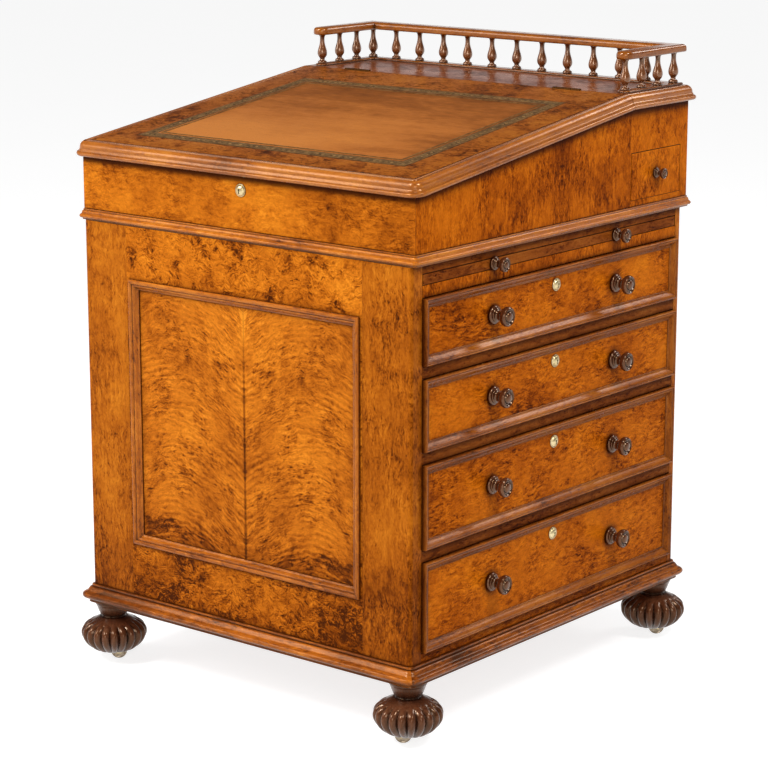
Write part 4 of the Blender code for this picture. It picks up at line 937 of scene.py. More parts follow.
def frame_profile(thickness):
    """The moulded frame round the lid and the fixed top: groove, flat, quirk, roll, hollow and bead."""
    start = LID_REACH - LID_FRAME + GAP
    flat = [(start, 0.0), (start, thickness - 0.0018), (start + 0.0006, thickness - 0.0015),
            (start + 0.0013, thickness - 0.0003), (start + 0.0020, thickness - 0.0001)]
    turn = LID_REACH - 0.0118
    quirk = [(turn - 0.0023, thickness - 0.0001), (turn - 0.0015, thickness - 0.0013),
             (turn - 0.0008, thickness - 0.0014), (turn - 0.0003, thickness - 0.0008)]
    roll, steep, shallow = 0.0092, 74, 12
    lean = math.radians(steep)
    roll_middle = (turn - roll * math.cos(lean), thickness - 0.0004 - roll * math.sin(lean))
    over = bead(roll_middle, roll, steep, shallow)
    end = over[-1]
    radius = 0.0031
    nose = (LID_REACH - radius, radius + 0.0008)
    hollow = eased([(end[0] + 0.0002, end[1] - 0.0011), (end[0] + 0.0004, end[1] - 0.0024),
                    (end[0] + 0.0012, end[1] - 0.0036), (nose[0] - 0.0002, nose[1] + radius + 0.0002)], 3)
    return flat + quirk + over + hollow + bead(nose, radius, 80, -70) + [(LID_REACH - 2.2 * radius, 0.0)]


def add_moulded_top(board, rim, thickness, loop, finish, body, node, cuts):
    """The board of the lid or of the fixed top, and the moulded frame round three of its sides."""
    shape = loft([loop(*step) for step in board_profile(thickness)])
    add_piece(board, shape, finish, body, node, cuts=cuts)
    rows = [loop(*step) for step in frame_profile(thickness)]
    add_piece(rim, loft(list(zip(*rows))), "polished walnut", body, node)


def bun_rings():
    """The bun's (radius, height) points from its underside to its neck, without its lobes."""
    shares = ((BUN_BASE, 0.0), (0.0262, 0.045), (0.0335, 0.14), (0.0393, 0.26), (0.0431, 0.39),
              (BUN_RADIUS, 0.51), (0.0438, 0.62), (0.0411, 0.72), (0.0362, 0.81), (0.0300, 0.88),
              (0.0236, 0.945), (NECK_RADIUS, 1.0))
    return eased([(radius, share * BUN_HEIGHT) for radius, share in shares], 4)


def foot_shape(x, y, lobes, depth):
    """A lobed bun with its collar above and the castor's well below."""
    around = circle(lobes * LOBE_FACETS)
    crest = [abs(math.sin(lobes / 2 * t)) for t in around]

    def plain(radius, z):
        return [(x + radius * math.cos(t), y + radius * math.sin(t), z) for t in around]

    loops = [plain(STEM_RADIUS, WELL_TOP), plain(WELL_RADIUS, WELL_TOP),
             plain(WELL_RADIUS, BUN_LOW + 0.0008), plain(WELL_RADIUS + 0.0006, BUN_LOW)]
    for radius, rise in bun_rings():
        loop = []
        for t, c in zip(around, crest):
            head = 0.97 - 0.06 * (1 - c)
            fade = min(max((head - rise / BUN_HEIGHT) / 0.11, 0.0), 1.0)
            fade = fade * fade * (3 - 2 * fade)
            foot = min(max(rise / BUN_HEIGHT / 0.10, 0.0), 1.0)
            r = radius - depth * (0.25 + 0.75 * foot) * fade * math.sqrt(radius / BUN_RADIUS) * (1 - c)
            loop.append((x + r * math.cos(t), y + r * math.sin(t), BUN_LOW + rise))
        loops.append(loop)
    top = BUN_LOW + BUN_HEIGHT
    collar = PLINTH_LOW - GAP - top
    neck, wide = NECK_RADIUS, COLLAR_RADIUS
    ring = eased([(neck - 0.0022, 0.01), (neck - 0.0030, 0.06), (neck - 0.0024, 0.13)], 4)
    cove = eased([(neck - 0.0006, 0.16), (neck + 0.0008, 0.30), (neck + 0.0026, 0.52),
                  (wide - 0.0012, 0.79)], 4)
    lip = eased([(wide - 0.0004, 0.83), (wide, 0.90), (wide, 0.97), (wide - 0.0006, 1.0)], 3)
    loops += [plain(radius, top + share * collar) for radius, share in ring + cove + lip]
    return loft(loops)


def gallery_outline(half):
    """A rail round three sides as (x, y) points: round front ends and mitred back corners."""
    steps = 16
    points = []
    for side, _ in SIDES:
        for step in range(steps + 1):
            angle = math.pi + math.pi * step / steps
            points.append((side * ROW_X + half * math.cos(angle), ROW_FRONT + half * math.sin(angle)))
        if side < 0:
            points += [(-ROW_X + half, ROW_BACK - half), (ROW_X - half, ROW_BACK - half)]
    return points + [(ROW_X + half, ROW_BACK + half), (-ROW_X - half, ROW_BACK + half)]


def spindle_shape(x, y, low, high):
    """Foot ring, waist, low belly, straight neck and flared top."""
    foot = eased([(0.88, 0.0), (0.97, 0.035), (0.88, 0.085)], 3)
    waist = eased([(0.62, 0.105), (0.49, 0.145), (0.54, 0.185)], 3)
    belly = eased([(0.72, 0.225), (0.93, 0.285), (1.0, 0.355), (0.96, 0.43), (0.82, 0.52), (0.65, 0.61),
                   (0.53, 0.70)], 5)
    neck = eased([(0.48, 0.78), (0.48, 0.86), (0.53, 0.92), (0.68, 0.965), (0.76, 1.0)], 3)
    profile = [(SPINDLE_RADIUS * r, low + h * (high - low)) for r, h in foot + waist + belly + neck]
    return turned(profile, Matrix.Translation((x, y, 0)), SPINDLE_FACETS)


def wall_top(y):
    """Height of the box's walls, which follow the lid's underside and then the fixed top's."""
    if y >= HINGE.y:
        return TOP_UNDER - GAP
    return TOP_UNDER - (HINGE.y - y) * math.tan(SLOPE) - GAP / math.cos(SLOPE)


def hinge_seats(side):
    """Stepped bricks that cut the hinges' seats: side -1 in the lid, 1 in the fixed top."""
    leaf, knuckle, deep = 0.0015, 0.0028, -0.0143
    steps = ((-LID_JOINT, CLEAR), (-LID_JOINT, deep), (leaf, deep), (leaf, -knuckle), (knuckle, -knuckle),
             (knuckle, CLEAR))
    cuts = []
    for _, name in SIDES:
        low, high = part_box(f"hinge_{name}_fixed_leaf")
        cuts.append(loft([[(x, HINGE.y + side * out, HINGE.z + rise) for out, rise in steps]
                          for x in (low.x - GAP, high.x + GAP)]))
    return cuts


# Operators


class DESK_OT_pedestal_front(bpy.types.Operator):
    """Makes the front's stiles, rails, bookmatched panel and panel moulding"""

    bl_idname = "desk.pedestal_front"
    bl_label = "Pedestal front"

    def execute(self, context):
        line = HALF - STILE_LINE
        for side, name in SIDES:
            x0, x1 = sorted((side * line, side * HALF))
            radii = (CORNER_RADIUS, 0, 0, 0) if side < 0 else (0, CORNER_RADIUS, 0, 0)
            shape = upright(plan(x0, x1, FRONT, BAY_FRONT, radii), BOTTOM, TOP)
            add_piece(f"front_stile_{name}", shape, "straight veneer", "pedestal",
                      "front_frame", grain="z", arris=FRAME_ARRIS)
        around = rectangle(-line, line, BOTTOM, TOP)
        opening = rectangle(PANEL_LOW.x, PANEL_HIGH.x, PANEL_LOW.z, PANEL_HIGH.z, PANEL_LAP)
        loops = [on_face(1, y, around) for y in (BAY_FRONT, FRONT)]
        loops += [on_face(1, y, opening) for y in (FRONT, BAY_FRONT)]
        add_piece("front_rails", loft(loops, ring=True), "burr veneer", "pedestal",
                  "front_frame", grain="x", arris=FRAME_ARRIS)
        low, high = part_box("front_panel")
        add_leaves("front_panel_leaves", FRONT + PANEL_RECESS, high.y, low, high, "front_panel")
        lap = PANEL_LAP + GAP
        section = panel_section() + [(lap, -PANEL_REBATE), (lap, 0.0), (0.0, 0.0)]
        add_piece("front_panel_bolection", surround(section, 1, FRONT, -1, PANEL_LOW, PANEL_HIGH),
                  "moulding walnut", "pedestal", "front_panel_moulding")
        return {"FINISHED"}


class DESK_OT_pedestal_back(bpy.types.Operator):
    """Makes the back board with its moulded panel"""

    bl_idname = "desk.pedestal_back"
    bl_label = "Pedestal back"

    def execute(self, context):
        outline = plan(-HALF, HALF, BAY_BACK, BACK, (0, 0, CORNER_RADIUS, CORNER_RADIUS))
        add_piece("back_board", upright(outline, BOTTOM, TOP), "straight veneer", "pedestal",
                  "pedestal_back", grain="z", arris=BOARD_ARRIS)
        sunk, leaf_rise, least = 0.001, 0.0004, 0.0006
        inset = PANEL_MOULD - sunk
        low = Vector((PANEL_LOW.x + inset, 0, PANEL_LOW.z + inset))
        high = Vector((PANEL_HIGH.x - inset, 0, PANEL_HIGH.z - inset))
        add_leaves("back_panel_leaves", BACK - FIELD_DEPTH, BACK + leaf_rise, low, high, "pedestal_back")
        section = [(inset, max(height, least)) for inset, height in panel_section()]
        section += [(PANEL_MOULD, -sunk), (0.0, -sunk)]
        add_piece("back_bolection", surround(section, 1, BACK, 1, PANEL_LOW, PANEL_HIGH), "moulding walnut",
                  "pedestal", "pedestal_back")
        return {"FINISHED"}


class DESK_OT_dummy_side(bpy.types.Operator):
    """Makes the left side, whose drawer fronts don't open"""

    bl_idname = "desk.dummy_side"
    bl_label = "Dummy side"

    def execute(self, context):
        low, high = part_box("dummy_side")
        board = brick((-HALF, low.y, BOTTOM), (high.x, high.y, TOP))
        add_piece("dummy_board", board, "straight veneer", "pedestal", "dummy_side",
                  grain="y", arris=FRAME_ARRIS)
        for number in DRAWERS:
            low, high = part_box(f"drawer_{number}_front")
            field = brick((-HALF - GAP, low.y + FIELD_INSET, low.z + FIELD_INSET),
                          (-HALF + FIELD_DEPTH, high.y - FIELD_INSET, high.z - FIELD_INSET))
            add_piece(f"dummy_{number}_field", field, "drawer veneer", "pedestal",
                      "dummy_side", grain="y")
            add_piece(f"dummy_{number}_edging", surround(edging_section(), 0, -HALF, -1, low, high),
                      "edging walnut", "pedestal", "dummy_side")
            for end in ENDS:
                _, y, z = middle(f"drawer_{number}_knob_{end}")
                add_knob(f"dummy_{number}_knob_{end}", DRAWER_KNOB, (-HALF - GAP, y, z), LEFT, "pedestal",
                         "dummy_side")
        return {"FINISHED"}


class DESK_OT_carcase(bpy.types.Operator):
    """Finishes the rails between the drawers and the pedestal's top"""

    bl_idname = "desk.carcase"
    bl_label = "Rails and top"

    def execute(self, context):
        dress("drawer_divider_1", wood("drawer veneer", "z"), RAIL_ARRIS)
        for number in DRAWERS[1:]:
            dress(f"drawer_divider_{number}", wood("rail veneer", "y"), RAIL_ARRIS)
        dress("pedestal_top", wood("rail veneer", "y"), RAIL_ARRIS)
        return {"FINISHED"}


class DESK_OT_plinth(bpy.types.Operator):
    """Makes the moulded plinth"""

    bl_idname = "desk.plinth"
    bl_label = "Plinth"

    def execute(self, context):
        height = BOTTOM - PLINTH_LOW
        rim = 0.22 * PLINTH_REACH
        radius = 0.16 * height
        out, level = PLINTH_REACH - radius, -0.6 * height  # middle of the bead
        profile = eased([(rim - 0.0012, 0.0), (rim - 0.0003, -0.0003), (rim, -0.0011),
                         (rim, -0.1 * height)], 3)
        profile += [(rim - 0.0006, -0.13 * height), (rim + 0.0006, -0.15 * height)]
        profile += ogee((rim + 0.0012, -0.15 * height), (out - 0.1 * radius, level + 1.2 * radius))
        profile += bead((out, level), radius, 72, -90)
        profile += eased([(out - radius, -0.80 * height), (out - 1.15 * radius, -0.90 * height),
                          (out - radius, -height + 0.0006), (out - 1.2 * radius, -height)], 3)
        shape = skirt(reversed(profile), HALF, FRONT, BACK, BOTTOM - GAP,
                      lambda proud: CORNER_RADIUS + 0.7 * proud)
        add_piece("plinth_moulding", shape, "moulding walnut", "pedestal", "plinth")
        low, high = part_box("drawer_divider_1")
        floor = brick((low.x, low.y, BOTTOM - GAP), (HALF, high.y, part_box("plinth")[1].z))
        add_piece("bottom_rail", floor, "drawer veneer", "pedestal", "plinth", grain="y",
                  arris=RAIL_ARRIS)
        return {"FINISHED"}


class DESK_OT_feet(bpy.types.Operator):
    """Makes the four lobed bun feet"""

    bl_idname = "desk.feet"
    bl_label = "Bun feet"

    def execute(self, context):
        sizes = context.scene.desk_sizes
        for corner in CORNERS:
            x, y, _ = middle(f"bun_foot_{corner}")
            add_piece(f"lobed_foot_{corner}", foot_shape(x, y, sizes.lobes, sizes.lobe_depth), "foot walnut",
                      "pedestal", f"bun_foot_{corner}", grain="z")
        return {"FINISHED"}


class DESK_OT_castors(bpy.types.Operator):
    """Finishes the castors' horns and makes their wheels"""

    bl_idname = "desk.castors"
    bl_label = "Castors"

    def execute(self, context):
        half = WHEEL_WIDTH / 2
        hub = eased([(0.0018, -half), (0.0040, -half), (0.0044, -0.8 * half)], 3)
        dish = eased([(0.0056, -0.72 * half), (0.0082, -0.78 * half), (0.0096, -0.92 * half)], 3)
        rim = eased([(0.0103, -0.86 * half), (0.0109, -0.5 * half), (WHEEL_RADIUS, 0.0)], 3)
        run = hub + dish + rim
        profile = run + [(r, -h) for r, h in reversed(run[:-1])]
        for corner in CORNERS:
            dress(f"castor_horn_{corner}", brass("horn brass", packed=True), FRAME_ARRIS)
            joint = JOINTS[f"wheel_{corner}_spin"]
            place = Matrix.Translation(joint["pos_m"]) @ facing(joint["axis"])
            add_piece(f"round_wheel_{corner}", turned(profile, place, WHEEL_FACETS, ring=True),
                      brass("wheel brass", (0.50, 0.50, 0.66)), f"wheel_{corner}",
                      f"castor_wheel_{corner}", grain="z")
        return {"FINISHED"}


class DESK_OT_drawers(bpy.types.Operator):
    """Makes the four drawers' faces, edgings, knobs and locks, and finishes their trays"""

    bl_idname = "desk.drawers"
    bl_label = "Drawers"

    def execute(self, context):
        for number in DRAWERS:
            body = f"drawer_{number}"
            low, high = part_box(f"{body}_front")
            face = brick((HALF - DRAWER_BOARD, low.y + FACE_INSET, low.z + FACE_INSET),
                         (HALF, high.y - FACE_INSET, high.z - FACE_INSET))
            add_piece(f"{body}_face", face, "drawer veneer", body, f"{body}_front", grain="y",
                      arris=BOARD_ARRIS)
            add_piece(f"{body}_edging", surround(edging_section(), 0, HALF, 1, low, high),
                      "edging walnut", body, f"{body}_front")
            for end in ENDS:
                _, y, z = middle(f"{body}_knob_{end}")
                add_knob(f"{body}_turned_knob_{end}", DRAWER_KNOB, (HALF + GAP, y, z), RIGHT, body,
                         f"{body}_knob_{end}")
            _, y, z = middle(f"{body}_lock")
            add_lock(f"{body}_brass", (HALF + TINY, y, z), RIGHT, DRAWER_BOARD, body, f"{body}_lock")
            dress(f"{body}_tray", wood("lining wood", "x"), TRAY_ARRIS)
        return {"FINISHED"}


class DESK_OT_brushing_slide(bpy.types.Operator):
    """Makes the slide above the drawers and its two small knobs"""

    bl_idname = "desk.brushing_slide"
    bl_label = "Brushing slide"

    def execute(self, context):
        low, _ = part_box("brushing_slide")
        board = brick((low.x, BAY_FRONT + RUN, SLIDE_LOW + GAP), (HALF, BAY_BACK - RUN, SLIDE_HIGH - RUN))
        add_piece("slide_board", board, "slide veneer", "brushing_slide", "brushing_slide",
                  grain="y", arris=SLIDE_ARRIS)
        for end in ENDS:
            _, y, _ = middle(f"drawer_1_knob_{end}")
            add_knob(f"slide_knob_{end}", SLIDE_KNOB, (HALF, y, (SLIDE_LOW + SLIDE_HIGH) / 2), RIGHT,
                     "brushing_slide", "brushing_slide")
        return {"FINISHED"}


class DESK_OT_writing_box(bpy.types.Operator):
    """Makes the writing box: moulded base, mitred walls, lock and partition"""

    bl_idname = "desk.writing_box"
    bl_label = "Writing box"

    def base(self):
        """The moulded base and the two tongues that run in the pedestal's top."""
        height = BASE_TOP - TOP
        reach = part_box("box_base")[1].x - BOX_HALF
        radius = 0.16 * height
        out, level = reach - radius, 0.33 * height  # middle of the bead
        profile = [(-0.002, height - GAP), (0.16 * reach, height - GAP), (0.24 * reach, 0.96 * height)]
        profile += [(0.25 * reach, 0.87 * height), (0.22 * reach, 0.845 * height),
                    (0.26 * reach, 0.825 * height)]
        drop, wide = 0.82 * height - level - radius, 0.66 * reach - radius
        profile += bead((0.28 * reach, level + radius), wide, 90, 12, rise=drop)
        profile += bead((out, level), radius, 60, -90) + [(0.45 * reach, 0.14 * height), (0.4 * reach, GAP)]
        shapes = [skirt(reversed(profile), BOX_HALF, BOX_FRONT, BOX_BACK, TOP,
                        lambda proud: max(0.0018 + 0.8 * proud, 0.0004))]
        for side, _ in SIDES:
            x = side * TONGUE_PLACE
            shapes.append(brick((x - TONGUE_HALF, BAY_FRONT + TONGUE_FRONT, TOP - TONGUE_DROP),
                                (x + TONGUE_HALF, BAY_BACK - TONGUE_BACK, TOP + TONGUE_RISE)))
        add_piece("base_moulding", joined(shapes), "moulding walnut", "writing_box", "box_base")

    def wall(self, name, outline, node, finish, grain, cuts=()):
        """A wall from its plan, whose top follows the lid and then the fixed top."""
        loops = [[(x, y, BASE_TOP) for x, y in outline], [(x, y, wall_top(y)) for x, y in outline]]
        board = add_piece(name, loft(loops), finish, "writing_box", node, grain=grain,
                          arris=BOARD_ARRIS, cuts=cuts)
        points, _, _ = corner_points(board.data)
        # Lays the depth below the lid, which the finish turns into a painted shadow under the overhang.
        lay(board.data, "lidded", LID_SHADOW_LEVEL + points[:, 2] - np.array([wall_top(y) for y in points[:, 1]]))

    def execute(self, context):
        self.base()
        x, inner = BOX_HALF, BOX_HALF - BOX_WALL
        for name, outer_y, inner_y, finish in (("front", BOX_FRONT, BOX_INNER, "box veneer"),
                                               ("back", BOX_BACK, BACK_INNER, "burr veneer")):
            outline = [(-x, outer_y), (x, outer_y), (inner, inner_y), (-inner, inner_y)]
            self.wall(f"box_{name}_board", outline, f"box_{name}", finish, "x")
        low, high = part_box("pen_drawer")
        opening = brick((x - PEN_OPENING, low.y - RUN, low.z - GAP), (x + CLEAR, high.y + RUN, high.z + RUN))
        for side, name in SIDES:
            outline = [(side * x, BOX_FRONT + TINY), (side * x, HINGE.y), (side * x, BOX_BACK - TINY),
                       (side * inner, BACK_INNER - TINY), (side * inner, HINGE.y),
                       (side * inner, BOX_INNER + TINY)]
            self.wall(f"box_{name}_board", outline, f"box_{name}", "side veneer", "z",
                      [opening] if side > 0 else ())
        _, _, z = middle("box_lock")
        add_lock("box_brass", (0, BOX_FRONT - TINY, z), AHEAD, BOX_INNER - BOX_FRONT, "writing_box",
                 "box_lock")
        dress("pen_partition", wood("lining wood", "x"), RAIL_ARRIS)
        return {"FINISHED"}


class DESK_OT_fixed_top(bpy.types.Operator):
    """Makes the fixed top behind the hinge line"""

    bl_idname = "desk.fixed_top"
    bl_label = "Fixed top"

    def loop(self, out, height):
        """The top's outline at one point of its profile."""
        corner = max(LID_CORNER + out, LEAST_CORNER)
        outline = plan(-BOX_HALF - out, BOX_HALF + out, HINGE.y + LID_JOINT, BOX_BACK + out,
                       (0, 0, corner, corner))
        return [(x, y, TOP_UNDER + height) for x, y in outline[1:] + outline[:1]]

    def execute(self, context):
        add_moulded_top("top_board", "top_frame", TOP_THICKNESS, self.loop, "top veneer", "writing_box",
                        "box_top", hinge_seats(1))
        return {"FINISHED"}


class DESK_OT_gallery(bpy.types.Operator):
    """Makes the gallery's strip, spindles and rail"""

    bl_idname = "desk.gallery"
    bl_label = "Gallery"

    def rail(self, name, section, half, low, thickness):
        """A rail from (inset, rise) points of its section, as shares of its half width and its thickness."""
        loops = []
        for inset, rise in section:
            outline = gallery_outline(half * (1 - max(inset, 0.0)))
            loops.append([(x, y, low + rise * thickness) for x, y in outline])
        add_piece(name, loft(loops), "gallery walnut", "writing_box", "gallery")

    def execute(self, context):
        low, rail_low = GALLERY_LOW.z, GALLERY_HIGH.z - RAIL_THICKNESS
        section = eased([(0.20, 0.0), (0.07, 0.04), (0.0, 0.20), (0.0, 0.40), (0.01, 0.60), (0.07, 0.80),
                         (0.18, 0.93), (0.34, 1.0)], 3)
        self.rail("gallery_rail", section, RAIL_HALF, rail_low, RAIL_THICKNESS)
        section = ((0.0, 0.0), (0.0, 0.55), (0.05, 0.85), (0.14, 1.0))
        self.rail("gallery_strip", section, STRIP_HALF, low, STRIP_THICKNESS)
        places = [(-ROW_X + 2 * ROW_X * i / BACK_BAYS, ROW_BACK) for i in range(BACK_BAYS + 1)]
        for i in range(END_BAYS):
            y = ROW_FRONT + (ROW_BACK - ROW_FRONT) * i / END_BAYS
            places += [(-ROW_X, y), (ROW_X, y)]
        for number, (x, y) in enumerate(places, start=1):
            shape = spindle_shape(x, y, low + STRIP_THICKNESS - GAP, rail_low + GAP)
            add_piece(f"spindle_{number:02d}", shape, "spindle walnut", "writing_box", "gallery",
                      grain="z")
        return {"FINISHED"}


class DESK_OT_lid(bpy.types.Operator):
    """Makes the sloping lid with the recess for its leather"""

    bl_idname = "desk.lid"
    bl_label = "Lid"

    def loop(self, out, height):
        """The lid's outline at one point of its profile. Its back edge stands upright at the hinge line."""
        depth = height - LID_THICKNESS
        back = (depth * math.sin(SLOPE) - LID_JOINT) / math.cos(SLOPE)
        corner = max(LID_CORNER + out, LEAST_CORNER)
        outline = plan(-BOX_HALF - out, BOX_HALF + out, -LID_LENGTH - out, back, (corner, corner, 0, 0))
        return [LID @ Vector((x, y, depth)) for x, y in outline[-1:] + outline[:-1]]

    def execute(self, context):
        recess = moved(upright(leather_edge(0.0), -RECESS_DEPTH, CLEAR), LID)
        add_moulded_top("lid_panel", "lid_frame", LID_THICKNESS, self.loop, "lid veneer", "lid", "lid_board",
                        [recess] + hinge_seats(-1))
        return {"FINISHED"}


def leather_edge(inset):
    """The leather's edge in the lid's own plane, drawn in by the inset."""
    return rectangle(LEATHER_LEFT, LEATHER_RIGHT, LEATHER_LOW, LEATHER_HIGH, inset)


class DESK_OT_leather(bpy.types.Operator):
    """Makes the writing leather and its tooled border"""

    bl_idname = "desk.leather"
    bl_label = "Leather"

    def skin(self):
        """The leather itself, which carries how far each place lies from its middle."""
        slab = moved(upright(leather_edge(GAP), -LEATHER_DEPTH, 0.0), LID)
        skin = add_piece("writing_leather", slab, leather(), "lid", "lid_leather", grain="x",
                         arris=BOARD_ARRIS)
        points, _, _ = corner_points(skin.data)
        points = np.array([LID.inverted() @ Vector(point) for point in points])
        across = (2 * points[:, 0] - LEATHER_LEFT - LEATHER_RIGHT) / (LEATHER_RIGHT - LEATHER_LEFT)
        along = (2 * points[:, 1] - LEATHER_LOW - LEATHER_HIGH) / (LEATHER_HIGH - LEATHER_LOW)
        lay(skin.data, "place", across, along)

    def ring(self, name, inset, width, rise, finish):
        """A flat band round the leather."""
        section = ((inset, -GAP), (inset, rise), (inset + width, rise), (inset + width, -GAP))
        loops = [[LID @ Vector((u, v, z)) for u, v in leather_edge(edge)] for edge, z in section]
        add_piece(name, loft(loops, ring=True), finish, "lid")

    def motif(self, x, y, turn):
        """A small pointed leaf, as a thin raised shape."""
        reach = [MOTIF_SIZE * k for k in (1.0, 0.36, 0.62, 0.36, 1.0, 0.36, 0.62, 0.36)]
        outline = [(x + k * math.cos(turn + t), y + k * math.sin(turn + t))
                   for k, t in zip(reach, circle(len(reach)))]
        return moved(upright(outline, -GAP, MOTIF_RISE), LID)

    def leaves(self, inset, pitch):
        """A row of leaves along each edge."""
        (x0, y0), _, (x1, y1), _ = leather_edge(inset)
        wide, deep = round((x1 - x0) / pitch), round((y1 - y0) / pitch)
        shapes = [self.motif(x0 + (x1 - x0) * i / wide, y, 0.0) for y in (y0, y1) for i in range(wide + 1)]
        shapes += [self.motif(x, y0 + (y1 - y0) * i / deep, math.pi / 2)
                   for x in (x0, x1) for i in range(1, deep)]
        leaf = gilt("gilt leaf", (0.80, 0.78, 0.74), 0.15)
        add_piece("border_leaves", joined(shapes), leaf, "lid", grain="x")

    def execute(self, context):
        sizes = context.scene.desk_sizes
        self.skin()
        start, end, inner = sizes.border, sizes.border + sizes.border_width, sizes.inner_line
        dark = gilt("dark line", (0.26, 0.20, 0.16), 0.0)
        self.ring("border_rim", GAP, start - GAP, BAND_RISE, dark)
        self.ring("border_band", start, end - start, BAND_RISE, gilt("tooled band", (0.27, 0.24, 0.18), 0.0))
        self.ring("border_dark", end, 0.0030, BAND_RISE, dark)
        line = gilt("gilt line", (0.62, 0.58, 0.50), 0.15)
        faded = gilt("faded line", (0.42, 0.35, 0.24), 0.0)
        lines = ((start, 0.0012, line), (start + 0.0022, 0.0007, line), (end - 0.0029, 0.0007, line),
                 (end - 0.0012, 0.0012, line), (inner, 0.0014, faded), (inner + 0.0024, 0.0020, faded))
        for number, (inset, width, finish) in enumerate(lines, start=1):
            self.ring(f"border_line_{number}", inset, width, LINE_RISE, finish)
        self.leaves(start + sizes.border_width / 2, sizes.motif)
        return {"FINISHED"}


class DESK_OT_hinges(bpy.types.Operator):
    """Finishes the lid's hinges"""

    bl_idname = "desk.hinges"
    bl_label = "Hinges"

    def execute(self, context):
        dull = brass("dull brass", (0.26, 0.13, 0.075), packed=True)
        for _, name in SIDES:
            for kind in ("fixed", "moving"):
                dress(f"hinge_{name}_{kind}_leaf", dull, 0.0)
        return {"FINISHED"}


class DESK_OT_pen_drawer(bpy.types.Operator):
    """Makes the little drawer in the box's right side"""

    bl_idname = "desk.pen_drawer"
    bl_label = "Pen drawer"

    def execute(self, context):
        low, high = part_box("pen_drawer")
        x, wall = BOX_HALF, PEN_WALL
        front = brick((x - PEN_FRONT, low.y, low.z), (x, high.y, high.z))
        add_piece("pen_front", front, "drawer veneer", "pen_drawer", "pen_drawer", grain="z",
                  arris=PEN_ARRIS)
        tray = brick(low, (x - PEN_FRONT + 2 * TINY, high.y, high.z))
        hollow = brick((low.x + wall, low.y + wall, low.z + wall),
                       (x + CLEAR, high.y - wall, high.z + CLEAR))
        add_piece("pen_tray", tray, "lining wood", "pen_drawer", "pen_drawer", grain="x",
                  arris=PEN_ARRIS, cuts=[hollow])
        _, y, z = middle("pen_drawer")
        add_knob("pen_knob", PEN_KNOB, (x, y, z), RIGHT, "pen_drawer", "pen_drawer")
        return {"FINISHED"}


SOFTBOXES = (
    # setting of its power, where it stands, what it aims at, its width and height
    ("key", (-0.9, -2.4, 2.9), (0, -0.2, 0.5), (0.8, 0.8)),
    ("fill", (2.15, -0.5, 2.85), (0, 0, 0.4), (0.7, 0.7)),
    ("front", (2.5, -3.3, 1.9), (0, 0, 0.6), (1.5, 1.5)),
    ("back", (1.3, 2.7, 2.6), (0, 0, 0.5), (1.0, 1.0)),
    ("edge", (-1.85, -2.2, 1.9), (0, -0.2, 0.6), (1.2, 1.0)),
)
BACKDROP = (0.08, 0.26, 1.0, 0.10)  # between these heights it falls from white to a dim ceiling
FLOOR_RADIUS = 18.0
FLOOR_SIDES = 96
FLOOR_LIFT = 0.80  # what the floor adds where it is seen, to meet the white backdrop


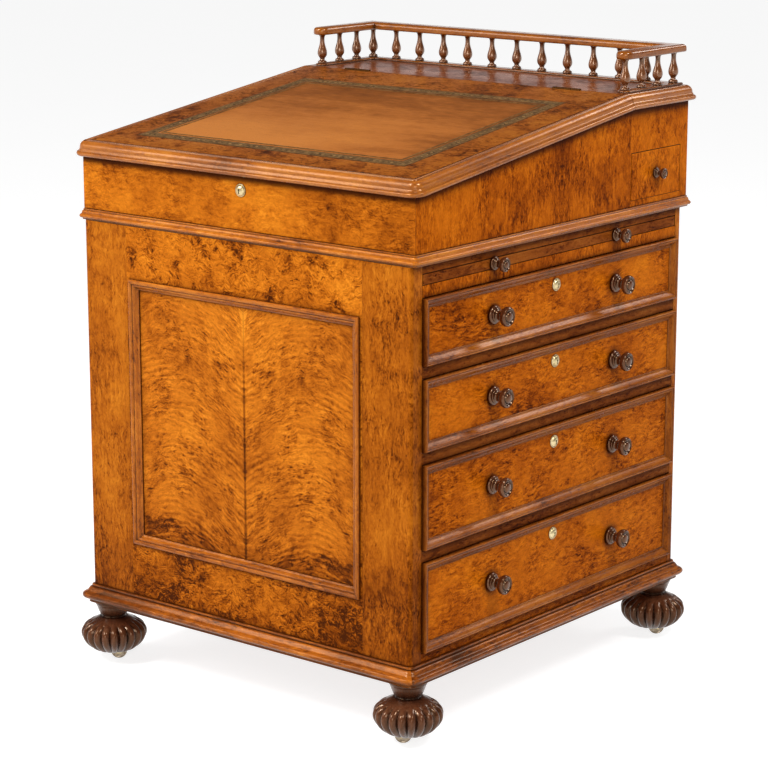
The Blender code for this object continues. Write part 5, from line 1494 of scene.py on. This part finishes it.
class DESK_OT_stage(bpy.types.Operator):
    """Sets the plain floor, the soft light and the camera"""

    bl_idname = "desk.stage"
    bl_label = "Stage"

    def place(self, name, data, location):
        obj = bpy.data.objects.new(name, data)
        obj.location = location
        bpy.context.scene.collection.objects.link(obj)
        return obj

    def softbox(self, name, place, aim, size, power):
        light = bpy.data.lights.new(name, "AREA")
        light.shape = "RECTANGLE"
        light.size, light.size_y = size
        light.energy = power
        obj = self.place(name, light, place)
        obj.rotation_euler = (Vector(aim) - Vector(place)).to_track_quat("-Z", "Y").to_euler()

    def sky(self, scene, strength):
        """Even light from all round, with a white backdrop that ends in a dimmer ceiling."""
        r = Recipe("studio", "worlds")
        scene.world = r.made
        r.tree.nodes.clear()
        height = r.step("SeparateXYZ", 2, Vector=r.step("TexCoord", "Generated"))
        even = r.step("Background", Color=WHITE, Strength=strength)
        backdrop = r.step("Background", Color=WHITE, Strength=r.between(height, *BACKDROP))
        mixed = r.step("MixShader", places={0: r.seen(), 1: even, 2: backdrop})
        r.put(r.tree.nodes.new("ShaderNodeOutputWorld"), "Surface", mixed)

    def floor(self, colour):
        points = [(FLOOR_RADIUS * math.cos(t), FLOOR_RADIUS * math.sin(t), 0.0) for t in circle(FLOOR_SIDES)]
        mesh = bpy.data.meshes.new("floor")
        mesh.from_pydata(points, [], [tuple(range(len(points)))])
        r = Recipe("studio floor")
        cloud = r.noise(r.step("TexCoord", "Object"), 3.0)
        tint = r.ramp(cloud, colour, ((0.3, (0.985, 0.985, 0.985)), (0.7, WHITE)))
        lift = r.math("MULTIPLY", r.seen(), FLOOR_LIFT)
        mesh.materials.append(r.finish(Base_Color=tint, Roughness=0.9, Specular_IOR_Level=0.0,
                                       Emission_Color=WHITE, Emission_Strength=lift))
        self.place("floor", mesh, (0, 0, 0))

    def camera(self, scene, stage):
        camera = bpy.data.cameras.new("camera")
        camera.lens = stage.lens
        camera.sensor_width = 36.0
        camera.clip_end = 100.0
        scene.camera = self.place("camera", camera, stage.place)
        scene.camera.rotation_euler = (math.pi / 2 - stage.pitch, 0.0, stage.heading)

    def execute(self, context):
        scene = context.scene
        stage = scene.desk_stage
        self.floor(stage.floor)
        self.sky(scene, stage.sky)
        for name, place, aim, size in SOFTBOXES:
            self.softbox(f"{name} softbox", place, aim, size, getattr(stage, name))
        self.camera(scene, stage)
        scene.view_settings.view_transform = "Standard"
        return {"FINISHED"}


OPERATORS = (
    DESK_OT_pedestal_front, DESK_OT_pedestal_back, DESK_OT_dummy_side, DESK_OT_carcase, DESK_OT_plinth,
    DESK_OT_feet, DESK_OT_castors, DESK_OT_drawers, DESK_OT_brushing_slide, DESK_OT_writing_box,
    DESK_OT_fixed_top, DESK_OT_gallery, DESK_OT_lid, DESK_OT_leather, DESK_OT_hinges, DESK_OT_pen_drawer,
    DESK_OT_stage,
)
GROUPS = (
    ("desk_finishes", "Finishes", DeskFinishes),
    ("desk_sizes", "Sizes", DeskSizes),
    ("desk_stage", "Stage", DeskStage),
)


class DESK_PT_sidebar(bpy.types.Panel):
    """Lists the desk's pieces and settings in the sidebar"""

    bl_idname = "DESK_PT_sidebar"
    bl_label = "Writing Desk"
    bl_space_type = "VIEW_3D"
    bl_region_type = "UI"
    bl_category = "Desk"

    def draw(self, context):
        for name, title, group in GROUPS:
            box = self.layout.box()
            box.label(text=title)
            for key in group.__annotations__:
                box.prop(getattr(context.scene, name), key)
        for operator in OPERATORS:
            self.layout.operator(operator.bl_idname)


CLASSES = tuple(group for _, _, group in GROUPS) + OPERATORS + (DESK_PT_sidebar,)


def register():
    for item in CLASSES:
        bpy.utils.register_class(item)
    for name, _, group in GROUPS:
        setattr(bpy.types.Scene, name, PointerProperty(type=group))


def unregister():
    for name, _, _ in GROUPS:
        delattr(bpy.types.Scene, name)
    for item in reversed(CLASSES):
        bpy.utils.unregister_class(item)


def main():
    register()
    for operator in OPERATORS:
        family, call = operator.bl_idname.split(".")
        getattr(getattr(bpy.ops, family), call)()
    bpy.context.view_layer.update()


if __name__ == "__main__":
    main()
